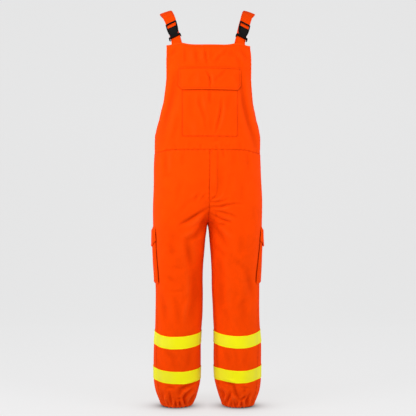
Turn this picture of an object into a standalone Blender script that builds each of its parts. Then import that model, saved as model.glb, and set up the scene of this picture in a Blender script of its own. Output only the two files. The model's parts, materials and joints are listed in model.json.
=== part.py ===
"""Bib overalls in high-visibility cloth, hollow and filled out as when worn.

The origin lies midway between the tops of the two shoulder straps. +Z is up, the bib faces -Y and
+X is the side of the fly piece. All sizes are in metres.

Every cloth piece is a wall with an outer skin and an inner skin. The skins are lofts between
unlike sections: a rounded torso that parts into two legs at the crotch and is drawn in at the hems.
"""
import math

import bpy
import bmesh
from mathutils import Matrix, Vector

# ---------------------------------------------------------------- driving sizes
CLOTH = 0.0016              # thickness of the garment's twill
PATCH_CLOTH = 0.0013        # pocket, flap and fly cloth
TAPE_CLOTH = 0.0008         # yellow tape
STRAP_CLOTH = 0.0016        # doubled strap cloth
SEAM_HALF_GAP = 0.00016     # trimmed from each side of a seam
LIFT = 0.0004               # air under a piece that lies on a panel

WAIST = -0.5160             # seam between bib and trousers
CROTCH = -0.7720            # lowest point of the rise
RISE = 0.150                # height over which the torso parts into two legs
HEM = -1.4370
CUFF_START = -1.3660        # first row of the gathered hem

FRONT_COLUMNS = 13          # panel columns from centre seam or inseam to side seam
BACK_COLUMNS = 10
CUFF_SPLIT = 3              # finer columns in the gathered hem
FRONT_GATHERS = 9
BACK_GATHERS = 7
GATHER_DEPTH = 0.0030       # half height of the hem gathers
HEM_SCALLOP = 0.0022        # the hem's edge rises and falls with the gathers

STRAP_WIDTH = 0.040
STRAP_IN_WINDOW = 0.0320    # the strap is squeezed where it passes the buckle's window
STUB_WIDTH = 0.036

SMOOTH_ANGLE = 35.0         # degrees; sharper edges are shaded as edges

SIDES = {"left": -1, "right": 1}


def table(columns, *rows):
    """A short table with named columns, one row for each section."""
    return {name: [row[place] for row in rows] for place, name in enumerate(columns.split())}


# The torso from the bib's top edge to the waist. The edge is the bib's free side above the
# armhole's end, and the side seam below it.
BIB = table(
    "height  edge_half_width  edge_depth  front_depth",
    (-0.1300, 0.1480, -0.0730, 0.1110),
    (-0.1565, 0.1496, -0.0720, 0.1130),
    (-0.1918, 0.1515, -0.0700, 0.1150),
    (-0.2550, 0.1520, -0.0650, 0.1175),
    (-0.2761, 0.1537, -0.0620, 0.1180),
    (-0.3180, 0.1577, -0.0550, 0.1180),
    (-0.3388, 0.1600, -0.0500, 0.1180),
    (-0.3598, 0.1650, -0.0440, 0.1180),
    (-0.3805, 0.1706, -0.0380, 0.1175),
    (-0.4015, 0.1756, -0.0310, 0.1170),
    (-0.4225, 0.1825, -0.0240, 0.1160),
    (-0.4435, 0.1872, -0.0160, 0.1155),
    (-0.4646, 0.1908, -0.0090, 0.1150),
    (-0.5200, 0.1917, -0.0080, 0.1145),
)

BACK = table(
    "height  edge_half_width  edge_depth  back_depth",
    (-0.2050, 0.1180, 0.0960, 0.1180),
    (-0.2600, 0.1230, 0.0940, 0.1190),
    (-0.3200, 0.1340, 0.0880, 0.1170),
    (-0.3700, 0.1480, 0.0760, 0.1130),
    (-0.4100, 0.1640, 0.0560, 0.1090),
    (-0.4400, 0.1810, 0.0280, 0.1070),
    (-0.4600, 0.1903, -0.0080, 0.1060),
    (-0.5200, 0.1917, -0.0080, 0.1050),
)

# The trousers. The inner half width is half of the gap between the legs. The turns are the angles
# at which the seams run, in degrees from the leg's widest point towards the front.
LEGS = table(
    "height  outer_half_width  inner_half_width  front_depth  back_depth  squareness",
    (-0.5100, 0.1917, 0.0000, 0.1145, 0.1050, 2.50),
    (-0.5731, 0.1954, 0.0000, 0.1165, 0.1110, 2.50),
    (-0.6610, 0.1974, 0.0000, 0.1180, 0.1220, 2.48),
    (-0.7200, 0.1984, 0.0000, 0.1170, 0.1260, 2.40),
    (-0.7720, 0.1980, 0.0004, 0.1130, 0.1240, 2.32),
    (-0.7924, 0.1978, 0.0037, 0.1110, 0.1210, 2.30),
    (-0.8363, 0.1968, 0.0073, 0.1060, 0.1150, 2.26),
    (-0.9020, 0.1945, 0.0128, 0.1000, 0.1070, 2.22),
    (-0.9677, 0.1905, 0.0164, 0.0950, 0.1010, 2.20),
    (-1.0554, 0.1880, 0.0183, 0.0920, 0.0960, 2.20),
    (-1.1100, 0.1898, 0.0192, 0.0930, 0.0950, 2.20),
    (-1.1650, 0.1926, 0.0219, 0.0950, 0.0960, 2.20),
    (-1.2200, 0.1954, 0.0230, 0.0950, 0.0970, 2.20),
    (-1.2745, 0.1954, 0.0237, 0.0930, 0.0960, 2.20),
    (-1.3400, 0.1954, 0.0256, 0.0900, 0.0940, 2.20),
    (-1.3620, 0.1938, 0.0292, 0.0880, 0.0920, 2.20),
    (-1.3840, 0.1900, 0.0347, 0.0820, 0.0860, 2.15),
    (-1.4060, 0.1826, 0.0420, 0.0730, 0.0760, 2.10),
    (-1.4280, 0.1735, 0.0511, 0.0600, 0.0640, 2.05),
    (-1.4400, 0.1700, 0.0550, 0.0550, 0.0590, 2.00),
)

SEAMS = table(
    "height  side_turn  inseam_turn_left  inseam_turn_right  front_droop",
    (-0.5100, 4.0, 0.0, 0.0, 0.0),
    (-0.7720, 8.0, 0.0, 0.0, 0.0),
    (-0.8600, 12.0, 2.0, 4.0, 0.0),
    (-1.0000, 18.0, 4.0, 14.0, 0.001),
    (-1.1700, 30.0, 6.0, 26.0, 0.005),
    (-1.2200, 33.0, 6.0, 29.0, 0.005),
    (-1.3000, 37.0, 6.0, 31.0, 0.001),
    (-1.3600, 40.0, 6.0, 32.0, 0.0),
    (-1.4400, 40.0, 6.0, 32.0, 0.0),
)

# The garment hangs turned a little, most at the chest, so the front's middle lies towards +X.
STANCE = table(
    "height  turn",
    (-1.0500, 0.0),
    (-0.9000, 1.6),
    (-0.7500, 3.4),
    (-0.6000, 4.2),
    (-0.4500, 5.0),
    (-0.1800, 4.6),
    (-0.1200, 2.2),
    (-0.0540, 2.2),
    (0.0000, 0.0),
)

# The largest folds of the fronts: soft troughs from one place to another, tapering at both ends.
FOLDS = table(
    "side  x_start  z_start  x_end  z_end  half_width  depth",
    (-1, -0.004, -0.722, -0.094, -0.781, 0.0085, 0.0045),
    (1, 0.014, -0.720, 0.086, -0.709, 0.0080, 0.0032),
    (1, 0.016, -0.748, 0.072, -0.768, 0.0080, 0.0030),
    (-1, -0.060, -0.860, -0.030, -1.060, 0.0180, 0.0035),
    (1, 0.162, -0.930, 0.150, -1.080, 0.0160, 0.0030),
)

# Heights of the rows of each panel.
LEG_ROWS = (
    -0.5163, -0.5500, -0.5850, -0.6200, -0.6500, -0.6750, -0.6970, -0.7160, -0.7330, -0.7480,
    -0.7600, -0.7680, CROTCH, -0.7860, -0.8000, -0.8150, -0.8360, -0.8580, -0.8900, -0.9300,
    -0.9650, -0.9970, -1.0500, -1.1100, -1.1740, -1.2170, -1.2570, -1.3000, -1.3440,
    CUFF_START, -1.3860, -1.4060, -1.4240, HEM,
)
BIB_ROWS = (
    -0.1449, -0.1640, -0.1830, -0.2030, -0.2231, -0.2430, -0.2640, -0.2850, -0.3031, -0.3260,
    -0.3500, -0.3750, -0.4000, -0.4200, -0.4400, -0.4587, -0.4702, -0.4920, WAIST,
)
BACK_ROWS = (
    -0.2050, -0.2300, -0.2600, -0.2900, -0.3200, -0.3500, -0.3800, -0.4100, -0.4400, -0.4587,
    -0.4800, WAIST,
)

# Bib columns that stay upright, so that the pocket's and the flap's edges lie on them.
POCKET_HALF_WIDTH = 0.0988
BIB_FLAP_HALF_WIDTH = 0.1095
BIB_UPRIGHTS = (-BIB_FLAP_HALF_WIDTH, -POCKET_HALF_WIDTH, -0.0790, -0.0526, -0.0263, 0.0,
                0.0263, 0.0526, 0.0790, POCKET_HALF_WIDTH, BIB_FLAP_HALF_WIDTH)
BIB_SIDE_COLUMNS = 5
BACK_UPRIGHTS = (-0.0900, -0.0600, -0.0300, 0.0, 0.0300, 0.0600, 0.0900)
BACK_SIDE_COLUMNS = 4
TORSO_SQUARENESS = 2.5
BIB_EDGE_RISE = 0.0088      # the top edge rises where the straps pull on it
BIB_CORNER_RISE = 0.0030    # and the corners, further back, stand a little above the middle

BELLOWS = 0.0042            # how far the side pockets stand off the leg
FLAP_FLARE = 0.0020         # how much further the flap's lower edge stands out
POCKET_COLUMNS_AHEAD = 1    # panel columns from the side seam to the pocket's front edge
POCKET_COLUMNS_BEHIND = 5

# Strap centre line on the +X side. Roll is the drop of the outer edge and sweep is how far the
# outer edge is turned back, both in degrees.
STRAP_LINE = table(
    "run  x  y  z  roll  sweep  lean",
    (0.000, 0.1105, -0.0935, -0.1960, 10.0, 23.5, 0.0000),
    (0.046, 0.1125, -0.0910, -0.1500, 14.0, 23.5, 0.0000),
    (0.082, 0.1172, -0.0860, -0.1145, 17.5, 20.0, 0.0000),
    (0.146, 0.1327, -0.0625, -0.0570, 17.5, 20.0, 0.0000),
    (0.178, 0.1405, -0.0440, -0.0310, 17.5, 12.0, 0.0000),
    (0.208, 0.1480, -0.0220, -0.0125, 17.5, 6.0, 0.0000),
    (0.229, 0.1545, -0.0030, -0.0060, 17.5, 2.0, 0.0000),
    (0.246, 0.1553, 0.0140, -0.0045, 17.5, -6.0, 0.0000),
    (0.271, 0.1470, 0.0380, -0.0085, 17.0, -16.0, 0.0000),
    (0.306, 0.1382, 0.0660, -0.0285, 15.0, -19.0, 0.0030),
    (0.348, 0.1278, 0.0870, -0.0630, 12.0, -19.0, 0.0056),
    (0.393, 0.1170, 0.0960, -0.1040, 9.0, -18.0, 0.0070),
    (0.439, 0.1055, 0.0985, -0.1480, 7.0, -18.0, 0.0045),
    (0.485, 0.0945, 0.1005, -0.1930, 5.0, -18.0, 0.0015),
    (0.529, 0.0880, 0.1035, -0.2360, 4.0, -17.0, 0.0000),
)
STRAIGHT_START = 0.082      # the strap is pulled straight through the buckle
STRAIGHT_END = 0.146
BUCKLE_RUN = 0.1080         # place of the buckle's middle along the strap line
BUCKLE_THICKNESS = 0.0070
BAR_UP = 0.0195             # height of the window's bar above the buckle's middle
BAR_OUT = 0.0023            # the strap is folded round the bar, so it lies in front of the strap
BAR_RADIUS = 0.0012
STRAP_BOW = 0.0012          # the strap's middle stands this far above its edges

FLY_WIDTH = 0.0275
FLY_CURVE_START = -0.6420   # below this the fly's free edge curves in to the centre seam
FLY_FOOT = -0.6880
FLY_FOOT_WIDTH = 0.005
FLY_CLOTH = 0.0011
TAPE_BANDS = (("tape_upper", -1.1740, -1.2170), ("tape_lower", -1.3000, -1.3440))
BACK_BAND_RISE = 0.0050     # the bands lie a little higher behind than in front


# ---------------------------------------------------------------- reading the tables
def smooth_slopes(places, values):
    """Slopes of a curve through the values that never overshoots them."""
    steps = [(values[k + 1] - values[k]) / (places[k + 1] - places[k])
             for k in range(len(places) - 1)]
    slopes = [steps[0]]
    for before, after in zip(steps, steps[1:]):
        slopes.append(0.0 if before * after <= 0 else 2 * before * after / (before + after))
    slopes.append(steps[-1])
    return slopes


def read(rows, column, place, key="height"):
    """Value of a table's column at a place, on a smooth curve through its rows."""
    pairs = sorted(zip(rows[key], rows[column]))
    places = [pair[0] for pair in pairs]
    values = [pair[1] for pair in pairs]
    if place <= places[0]:
        return values[0]
    if place >= places[-1]:
        return values[-1]
    slopes = smooth_slopes(places, values)
    k = max(index for index in range(len(places) - 1) if places[index] <= place)
    span = places[k + 1] - places[k]
    t = (place - places[k]) / span
    return (values[k] * (1 + 2 * t) * (1 - t) ** 2
            + values[k + 1] * t * t * (3 - 2 * t)
            + slopes[k] * span * t * (1 - t) ** 2
            - slopes[k + 1] * span * t * t * (1 - t))


def turned(vector, height):
    """The point or direction after the garment's slight turn at that height."""
    return Matrix.Rotation(math.radians(read(STANCE, "turn", height)), 3, "Z") @ vector


def evenly(points, count):
    """Count + 1 points at even distances along a line of points."""
    runs = [0.0]
    for first, second in zip(points, points[1:]):
        runs.append(runs[-1] + (second - first).length)
    result = []
    k = 0
    for index in range(count + 1):
        run = runs[-1] * index / count
        while k < len(points) - 2 and runs[k + 1] < run:
            k += 1
        step = max(runs[k + 1] - runs[k], 1e-9)
        result.append(points[k].lerp(points[k + 1], min(1.0, (run - runs[k]) / step)))
    return result


# ---------------------------------------------------------------- cloth grids
class Cloth:
    """Rows of outer points with the outward direction at each point."""

    def __init__(self, points, normals):
        self.points = points
        self.normals = normals

    def moved(self, distance):
        return [[point + normal * distance for point, normal in zip(*rows)]
                for rows in zip(self.points, self.normals)]

    def at(self, row, column, distance):
        """The place at a row and column, either of which may lie between two, moved out."""
        r = min(int(row), len(self.points) - 2)
        c = min(int(column), len(self.points[r]) - 2)
        v = row - r
        u = column - c
        point = Vector()
        normal = Vector()
        for row_step, row_share in ((0, 1 - v), (1, v)):
            for column_step, column_share in ((0, 1 - u), (1, u)):
                share = row_share * column_share
                point += self.points[r + row_step][c + column_step] * share
                normal += self.normals[r + row_step][c + column_step] * share
        return point + normal.normalized() * distance


def row_at(heights, height):
    """The row, or the place between two rows, that lies at a height."""
    for k, (upper, lower) in enumerate(zip(heights, heights[1:])):
        if lower <= height <= upper:
            return k + (upper - height) / (upper - lower)
    raise ValueError("no row at this height")


def wall(name, outer, inner, material):
    """A cloth wall between two skins. A row may have a whole number of times as many columns
    as the one above it."""
    mesh = bmesh.new()
    skins = [[[mesh.verts.new(point) for point in row] for row in skin] for skin in (outer, inner)]
    for skin in skins:
        for upper, lower in zip(skin, skin[1:]):
            split = (len(lower) - 1) // (len(upper) - 1)
            for c in range(len(upper) - 1):
                below = lower[c * split:(c + 1) * split + 1]
                mesh.faces.new([upper[c], upper[c + 1]] + below[::-1])
    out, back = skins
    for row in (0, -1):
        for c in range(len(out[row]) - 1):
            mesh.faces.new([out[row][c], out[row][c + 1], back[row][c + 1], back[row][c]])
    for column in (0, -1):
        for r in range(len(out) - 1):
            mesh.faces.new([out[r][column], out[r + 1][column], back[r + 1][column],
                            back[r][column]])
    bmesh.ops.recalc_face_normals(mesh, faces=mesh.faces)
    if mesh.calc_volume(signed=True) < 0:
        bmesh.ops.reverse_faces(mesh, faces=mesh.faces)
    return finished(name, mesh, material)


def finished(name, mesh, material):
    """An object of the garment from a bmesh, smooth but for its sharp edges."""
    data = bpy.data.meshes.new(name)
    mesh.to_mesh(data)
    mesh.free()
    data.shade_smooth()
    data.set_sharp_from_angle(angle=math.radians(SMOOTH_ANGLE))
    data.materials.append(material)
    part = bpy.data.objects.new(name, data)
    bpy.data.collections["bib_overalls"].objects.link(part)
    return part


# ---------------------------------------------------------------- torso
def torso_half_width(edge, edge_depth, depth):
    """Half width of the rounded section on which a free edge lies at its own depth."""
    share = (abs(edge_depth) / depth) ** TORSO_SQUARENESS
    return edge / (1 - share) ** (1 / TORSO_SQUARENESS)


def torso_place(x, width, depth):
    """Depth of the rounded section at x, as a positive number."""
    share = min(1.0, abs(x) / width) ** TORSO_SQUARENESS
    return depth * (1 - share) ** (1 / TORSO_SQUARENESS)


def torso_normal(x, y, width, depth):
    """Level outward direction of the rounded section."""
    power = TORSO_SQUARENESS - 1
    slope_x = math.copysign((abs(x) / width) ** power / width, x)
    slope_y = math.copysign((abs(y) / depth) ** power / depth, y)
    return Vector((slope_x, slope_y, 0.0)).normalized()


def torso_row(height, facing, uprights, side_columns, rows, depth_column):
    """One row of a torso panel: upright columns in the middle and even ones out to each edge."""
    edge = read(rows, "edge_half_width", height)
    edge_depth = read(rows, "edge_depth", height)
    depth = read(rows, depth_column, height)
    across = edge_depth * facing        # positive while the edge lies on the panel's own half
    if across > 0:
        width = torso_half_width(edge, edge_depth, depth)
    else:
        width = edge
    limit = uprights[-1]
    start = math.atan2(torso_place(limit, width, depth) / depth, limit / width)
    stop = math.atan2(max(across, 0.0) / depth, edge / width)
    line = []
    for k in range(41):
        angle = start + (stop - start) * k / 40
        share = (abs(math.cos(angle)) ** TORSO_SQUARENESS
                 + abs(math.sin(angle)) ** TORSO_SQUARENESS) ** (-1 / TORSO_SQUARENESS)
        line.append(Vector((width * math.cos(angle) * share, depth * math.sin(angle) * share, 0)))
    if across < 0:
        line.append(Vector((edge, across, 0)))
    flank = [(point.x, point.y) for point in evenly(line, side_columns)[1:]]
    middle = [(x, torso_place(x, width, depth)) for x in uprights]
    places = [(-x, y) for x, y in flank[::-1]] + middle + flank
    points = [Vector((x, y * facing, height)) for x, y in places]
    normals = [torso_normal(p.x, p.y, width, depth) for p in points]
    return points, normals


def bib_edge_lift(x):
    """How far the top edge rises above its middle, most of all at the straps."""
    at_strap = math.exp(-((abs(x) - 0.108) / 0.030) ** 2)
    at_corner = min(1.0, max(0.0, (abs(x) - 0.118) / 0.030))
    return BIB_EDGE_RISE * at_strap * (1 - at_corner) + BIB_CORNER_RISE * at_corner


def torso_panel(heights, facing, uprights, side_columns, rows, depth_column):
    points = []
    normals = []
    for height in heights:
        row, out = torso_row(height, facing, uprights, side_columns, rows, depth_column)
        for ends in (0, -1):
            step = row[1] - row[0] if ends == 0 else row[-2] - row[-1]
            row[ends] = row[ends] + step.normalized() * SEAM_HALF_GAP
        if facing < 0:
            fade = max(0.0, 1 - (heights[0] - height) / 0.045)
            for point in row:
                point.z += bib_edge_lift(point.x) * fade
        points.append([turned(point, point.z) for point in row])
        normals.append([turned(normal, height) for normal in out])
    return Cloth(points, normals)


# ---------------------------------------------------------------- legs
def leg_section(height):
    """Centre, half width, front and back depth and squareness of one leg at a height."""
    outer = read(LEGS, "outer_half_width", height)
    inner = read(LEGS, "inner_half_width", height)
    parting = min(1.0, max(0.0, (CROTCH + RISE - height) / RISE)) ** 1.2
    if height > CROTCH:
        centre = outer * parting / (1 + parting)
        half = outer / (1 + parting)
    else:
        centre = (outer + inner) / 2
        half = (outer - inner) / 2
    return (centre, half, read(LEGS, "front_depth", height), read(LEGS, "back_depth", height),
            read(LEGS, "squareness", height))


def leg_place(section, angle, height, droop):
    """Point of the +X leg at an angle from its outermost point, positive towards the front."""
    centre, half, front, back, squareness = section
    power = 2 / squareness
    across = math.copysign(abs(math.cos(angle)) ** power, math.cos(angle))
    along = math.copysign(abs(math.sin(angle)) ** power, math.sin(angle))
    depth = front if along > 0 else back
    return Vector((max(0.0, centre + half * across), -depth * along, height - droop * along))


def seam_angles(height, side):
    """Angles of the front's start, the side seam and the back's end at a height."""
    centre, half, front, back, squareness = leg_section(height)
    side_turn = math.radians(read(SEAMS, "side_turn", height))
    if height > CROTCH:
        start = math.acos(-(centre / half) ** (squareness / 2))
        return start, side_turn, -start
    column = "inseam_turn_right" if side > 0 else "inseam_turn_left"
    inseam = math.pi - math.radians(read(SEAMS, column, height))
    return inseam, side_turn, inseam - 2 * math.pi


def leg_row(height, side, split):
    """Outer points of one leg at a height, from the front's start round the side to the back."""
    section = leg_section(height)
    droop = read(SEAMS, "front_droop", height)
    start, side_seam, end = seam_angles(height, side)
    row = []
    for first, last, count in ((start, side_seam, FRONT_COLUMNS * split),
                               (side_seam, end, BACK_COLUMNS * split)):
        line = [leg_place(section, first + (last - first) * k / 90, height, droop)
                for k in range(91)]
        piece = evenly(line, count)
        row += piece if not row else piece[1:]
    for point in row:
        point.x *= side
    return row


def fold_depth(point, side):
    """How deep the large folds lie at a point of the trouser fronts."""
    depth = 0.0
    for k, fold_side in enumerate(FOLDS["side"]):
        if fold_side != side or point.y > 0:
            continue
        start = Vector((FOLDS["x_start"][k], FOLDS["z_start"][k]))
        reach = Vector((FOLDS["x_end"][k], FOLDS["z_end"][k])) - start
        here = Vector((point.x, point.z)) - start
        along = min(1.0, max(0.0, here.dot(reach) / reach.length_squared))
        away = (here - reach * along).length / FOLDS["half_width"][k]
        depth += FOLDS["depth"][k] * math.sin(math.pi * (0.12 + 0.8 * along)) * math.exp(-away ** 2)
    return depth


def gather_wave(share, gathers, side):
    """Height of the hem gathers, between -1 and 1, uneven in spacing and depth."""
    swing = share + 0.018 * math.sin(2 * math.pi * share * 2 + side)
    size = 0.78 + 0.22 * math.sin(2 * math.pi * share * 3.0 + 2.0 * side)
    return -math.cos(2 * math.pi * gathers * swing) * size


def leg_normals(grid, heights):
    """Outward directions over the whole leg, worked out across the seams."""
    normals = []
    for r, row in enumerate(grid):
        split = (len(row) - 1) // (FRONT_COLUMNS + BACK_COLUMNS)
        above = grid[max(r - 1, 0)]
        below = grid[min(r + 1, len(grid) - 1)]
        closed = heights[r] <= CROTCH
        line = []
        for c, point in enumerate(row):
            place = c / split
            up = above[round(place * (len(above) - 1) / (FRONT_COLUMNS + BACK_COLUMNS))]
            down = below[round(place * (len(below) - 1) / (FRONT_COLUMNS + BACK_COLUMNS))]
            before = row[c - 1] if c > 0 else (row[-2] if closed else row[0])
            after = row[c + 1] if c < len(row) - 1 else (row[1] if closed else row[-1])
            normal = (down - up).cross(after - before)
            line.append(normal.normalized())
        normals.append(line)
    return normals


def mitre_centre_seam(grid, normals, heights):
    """On the centre seam the two halves meet, so the directions lie in the middle plane."""
    for r, height in enumerate(heights):
        if height < CROTCH:
            break
        for column in (0, -1):
            if height == CROTCH:
                normals[r][column] = Vector((0, 0, -1))
                continue
            run = grid[r + 1][column] - grid[max(r - 1, 0)][column]
            outwards = Vector((0, run.z, -run.y)).normalized()
            normals[r][column] = outwards if column == 0 else -outwards


def leg(side):
    """The outer cloth of one leg as a front and a back grid."""
    heights = LEG_ROWS
    splits = [CUFF_SPLIT if height <= CUFF_START else 1 for height in heights]
    grid = [leg_row(height, side, split) for height, split in zip(heights, splits)]
    normals = leg_normals(grid, heights)
    if side < 0:
        normals = [[-normal for normal in row] for row in normals]
    mitre_centre_seam(grid, normals, heights)
    front_points, front_normals, back_points, back_normals = [], [], [], []
    for row, out, height, split in zip(grid, normals, heights, splits):
        seam = FRONT_COLUMNS * split
        drawn_in = max(0.0, (CUFF_START + 0.006 - height) / (CUFF_START + 0.006 - HEM)) ** 1.3
        shaped = []
        for c, (point, normal) in enumerate(zip(row, out)):
            if c <= seam:
                wave = gather_wave(c / seam, FRONT_GATHERS, side)
            else:
                wave = gather_wave((c - seam) / (len(row) - 1 - seam), BACK_GATHERS, side)
            move = GATHER_DEPTH * wave * drawn_in - fold_depth(point, side)
            place = point + normal * move
            if height == HEM:
                place.z -= HEM_SCALLOP * wave
            shaped.append(place)
        front = trimmed(shaped[:seam + 1], height, side, top=True)
        back = trimmed(shaped[seam:], height, side, top=False)
        front_points.append([turned(point, height) for point in front])
        back_points.append([turned(point, height) for point in back])
        front_normals.append([turned(normal, height) for normal in out[:seam + 1]])
        back_normals.append([turned(normal, height) for normal in out[seam:]])
    return Cloth(front_points, front_normals), Cloth(back_points, back_normals)


def trimmed(row, height, side, top):
    """The row of one panel, cut back from its seams by half of the seam's gap."""
    row = list(row)
    first = (row[1] - row[0]).normalized() * SEAM_HALF_GAP
    last = (row[-2] - row[-1]).normalized() * SEAM_HALF_GAP
    row[0] = row[0] + first
    row[-1] = row[-1] + last
    if height >= CROTCH:
        middle = 0 if top else -1
        row[middle].x = SEAM_HALF_GAP * side
        if height == CROTCH:
            row[middle].y = -SEAM_HALF_GAP if top else SEAM_HALF_GAP
    return row


# ---------------------------------------------------------------- pieces that lie on the panels
def patch(name, cloth, rows, lift, thickness, material):
    """A piece on a panel. Each row lists (row, column) places, and lift gives its height there."""
    inner = [[cloth.at(r, c, lift(i, j)) for j, (r, c) in enumerate(row)]
             for i, row in enumerate(rows)]
    outer = [[cloth.at(r, c, lift(i, j) + thickness) for j, (r, c) in enumerate(row)]
             for i, row in enumerate(rows)]
    return wall(name, outer, inner, material)


def tape(name, cloth, heights, top, bottom, material):
    """A tape band across a panel, on that panel's own columns."""
    columns = range(len(cloth.points[0]))
    between = [height for height in heights if bottom < height < top]
    rows = [[(row_at(heights, height), column) for column in columns]
            for height in [top] + between + [bottom]]
    return patch(name, cloth, rows, lambda i, j: LIFT, TAPE_CLOTH, material)


def bib_pocket(bib, material):
    """Flat pocket with its mouth under the flap and slightly clipped lower corners."""
    first = BIB_SIDE_COLUMNS + 1
    last = first + 8
    columns = [first, first + 0.25] + list(range(first + 1, last)) + [last - 0.25, last]
    heights = [-0.2370, -0.2640, -0.2850, -0.3031, -0.3260, -0.3500, -0.3750, -0.4000, -0.4200,
               -0.4400, -0.4587, -0.4702]
    rows = []
    for height in heights:
        clipped = 0.005 if height == heights[-1] else 0.0
        rows.append([(row_at(BIB_ROWS, height + (clipped if j in (0, len(columns) - 1) else 0)), c)
                     for j, c in enumerate(columns)])
    return patch("bib_pocket", bib, rows, lambda i, j: LIFT, PATCH_CLOTH, material)


def bib_flap(bib, material):
    """Pocket flap with clipped lower corners, sewn along its top and free below."""
    first = BIB_SIDE_COLUMNS
    columns = list(range(first, first + 11))
    heights = (-0.2231, -0.2310, -0.2430, -0.2640, -0.2850, -0.3031)
    lifts = (LIFT, 0.0023, 0.0025, 0.0026, 0.0028, 0.0032)
    rows = []
    for height in heights:
        corner = {0: 0.0165, 1: 0.0025} if height == heights[-1] else {}
        rows.append([(row_at(BIB_ROWS, height + corner.get(min(j, len(columns) - 1 - j), 0)), c)
                     for j, c in enumerate(columns)])
    return patch("bib_pocket_flap", bib, rows, lambda i, j: lifts[i], PATCH_CLOTH, material)


def fly_placket(front, material):
    """J-shaped fly piece beside the centre seam, narrowing to the seam at its foot."""
    heights = [-0.5185, -0.5500, -0.5850, -0.6200, FLY_CURVE_START, -0.6500, -0.6640, -0.6750,
               -0.6830, FLY_FOOT]
    rows = []
    for height in heights:
        row = row_at(LEG_ROWS, height)
        step = (front.at(row, 1, 0) - front.at(row, 0, 0)).length
        share = max(0.0, (FLY_CURVE_START - height) / (FLY_CURVE_START - FLY_FOOT))
        reach = FLY_FOOT_WIDTH + (FLY_WIDTH - FLY_FOOT_WIDTH) * math.sqrt(max(0.0, 1 - share ** 2))
        rows.append([(row, reach * part / step) for part in (0.02, 0.5, 1.0)])
    low = sum(1 for height in heights if height > -0.6700)

    def lift(i, j):
        return LIFT if i < low else 2.2 * LIFT

    return patch("fly_placket", front, rows, lift, FLY_CLOTH, material)


def leg_side(front, back):
    """The cloth round the outer side of a leg, over the side seam, above the cuff."""
    rows = sum(1 for height in LEG_ROWS if height > CUFF_START)
    first = FRONT_COLUMNS - POCKET_COLUMNS_AHEAD - 1
    points = [front.points[r][first:-1] + [front.points[r][-1].lerp(back.points[r][0], 0.5)]
              + back.points[r][1:POCKET_COLUMNS_BEHIND + 3] for r in range(rows)]
    normals = [front.normals[r][first:-1] + back.normals[r][:POCKET_COLUMNS_BEHIND + 3]
               for r in range(rows)]
    return Cloth(points, normals)


def cargo_pocket(name, side_cloth, material):
    """Bellows pocket: its front stands off the leg and three edges come down to it."""
    last = 1 + POCKET_COLUMNS_AHEAD + POCKET_COLUMNS_BEHIND
    columns = [1, 1.22] + list(range(2, last)) + [last - 0.22, last]
    heights = (-0.8190, -0.8360, -0.8580, -0.8900, -0.9300, -0.9650, -0.9925, -0.9970)
    rows = [[(row_at(LEG_ROWS, height), c) for c in columns] for height in heights]

    def lift(i, j):
        at_edge = j in (0, len(columns) - 1) or i == len(heights) - 1
        return LIFT if at_edge else BELLOWS

    return patch(name, side_cloth, rows, lift, PATCH_CLOTH, material)


def cargo_flap(name, side_cloth, material):
    """Flap over the bellows pocket's mouth, sewn along its top and standing out below."""
    last = 1 + POCKET_COLUMNS_AHEAD + POCKET_COLUMNS_BEHIND
    columns = [0.85] + list(range(1, last + 1)) + [last + 0.15]
    heights = (-0.8000, -0.8080, -0.8150, -0.8360, -0.8580)
    over = BELLOWS + PATCH_CLOTH + LIFT
    lifts = (LIFT, 0.72 * over, over, over + 0.3 * FLAP_FLARE, over + FLAP_FLARE)
    rows = []
    for height in heights:
        corner = {0: 0.0100, 1: 0.0040} if height == heights[-1] else {}
        rows.append([(row_at(LEG_ROWS, height + corner.get(min(j, len(columns) - 1 - j), 0)), c)
                     for j, c in enumerate(columns)])
    return patch(name, side_cloth, rows, lambda i, j: lifts[i], PATCH_CLOTH, material)


# ---------------------------------------------------------------- straps
def strap_centre(run):
    """Point of the strap's centre line, straight where it passes the buckle."""
    if STRAIGHT_START < run < STRAIGHT_END:
        share = (run - STRAIGHT_START) / (STRAIGHT_END - STRAIGHT_START)
        return strap_centre(STRAIGHT_START).lerp(strap_centre(STRAIGHT_END), share)
    return Vector([read(STRAP_LINE, axis, run, "run") for axis in ("x", "y", "z")])


def strap_frame(run, side):
    """Centre point, across, along and outward directions of the strap at a run from its start."""
    point = strap_centre(run)
    along = (strap_centre(run + 0.001) - strap_centre(run - 0.001)).normalized()
    roll = math.radians(read(STRAP_LINE, "roll", run, "run"))
    sweep = math.radians(read(STRAP_LINE, "sweep", run, "run"))
    across = Vector((math.cos(roll) * math.cos(sweep), math.sin(sweep), -math.sin(roll)))
    across = (across - along * across.dot(along)).normalized()
    out = across.cross(along).normalized()
    mirrored = [Vector((v.x * side, v.y, v.z)) for v in (point, across, along, out)]
    centre, across, along, out = [turned(v, point.z) for v in mirrored]
    centre.x += read(STRAP_LINE, "lean", run, "run")
    return [centre, across, along, out]


def ribbon(name, stations, side, thickness, material):
    """A strap through stations, each a (run, offset outwards, width, bow) of its middle surface.
    The bow is how far the strap's middle stands above its edges."""
    middle = []
    for run, offset, width, bow in stations:
        point, across, along, out = strap_frame(run, side)
        middle.append([point + across * width * part + out * (offset + bow * (1 - 4 * part ** 2))
                       for part in (-0.5, -0.25, 0.0, 0.25, 0.5)])
    normals = []
    for r, row in enumerate(middle):
        upper = middle[max(r - 1, 0)]
        lower = middle[min(r + 1, len(middle) - 1)]
        normals.append([(row[min(c + 1, 4)] - row[max(c - 1, 0)]).cross(lower[c] - upper[c])
                        .normalized() * side for c in range(5)])
    cloth = Cloth(middle, normals)
    return wall(name, cloth.moved(thickness / 2), cloth.moved(-thickness / 2), material)


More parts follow.
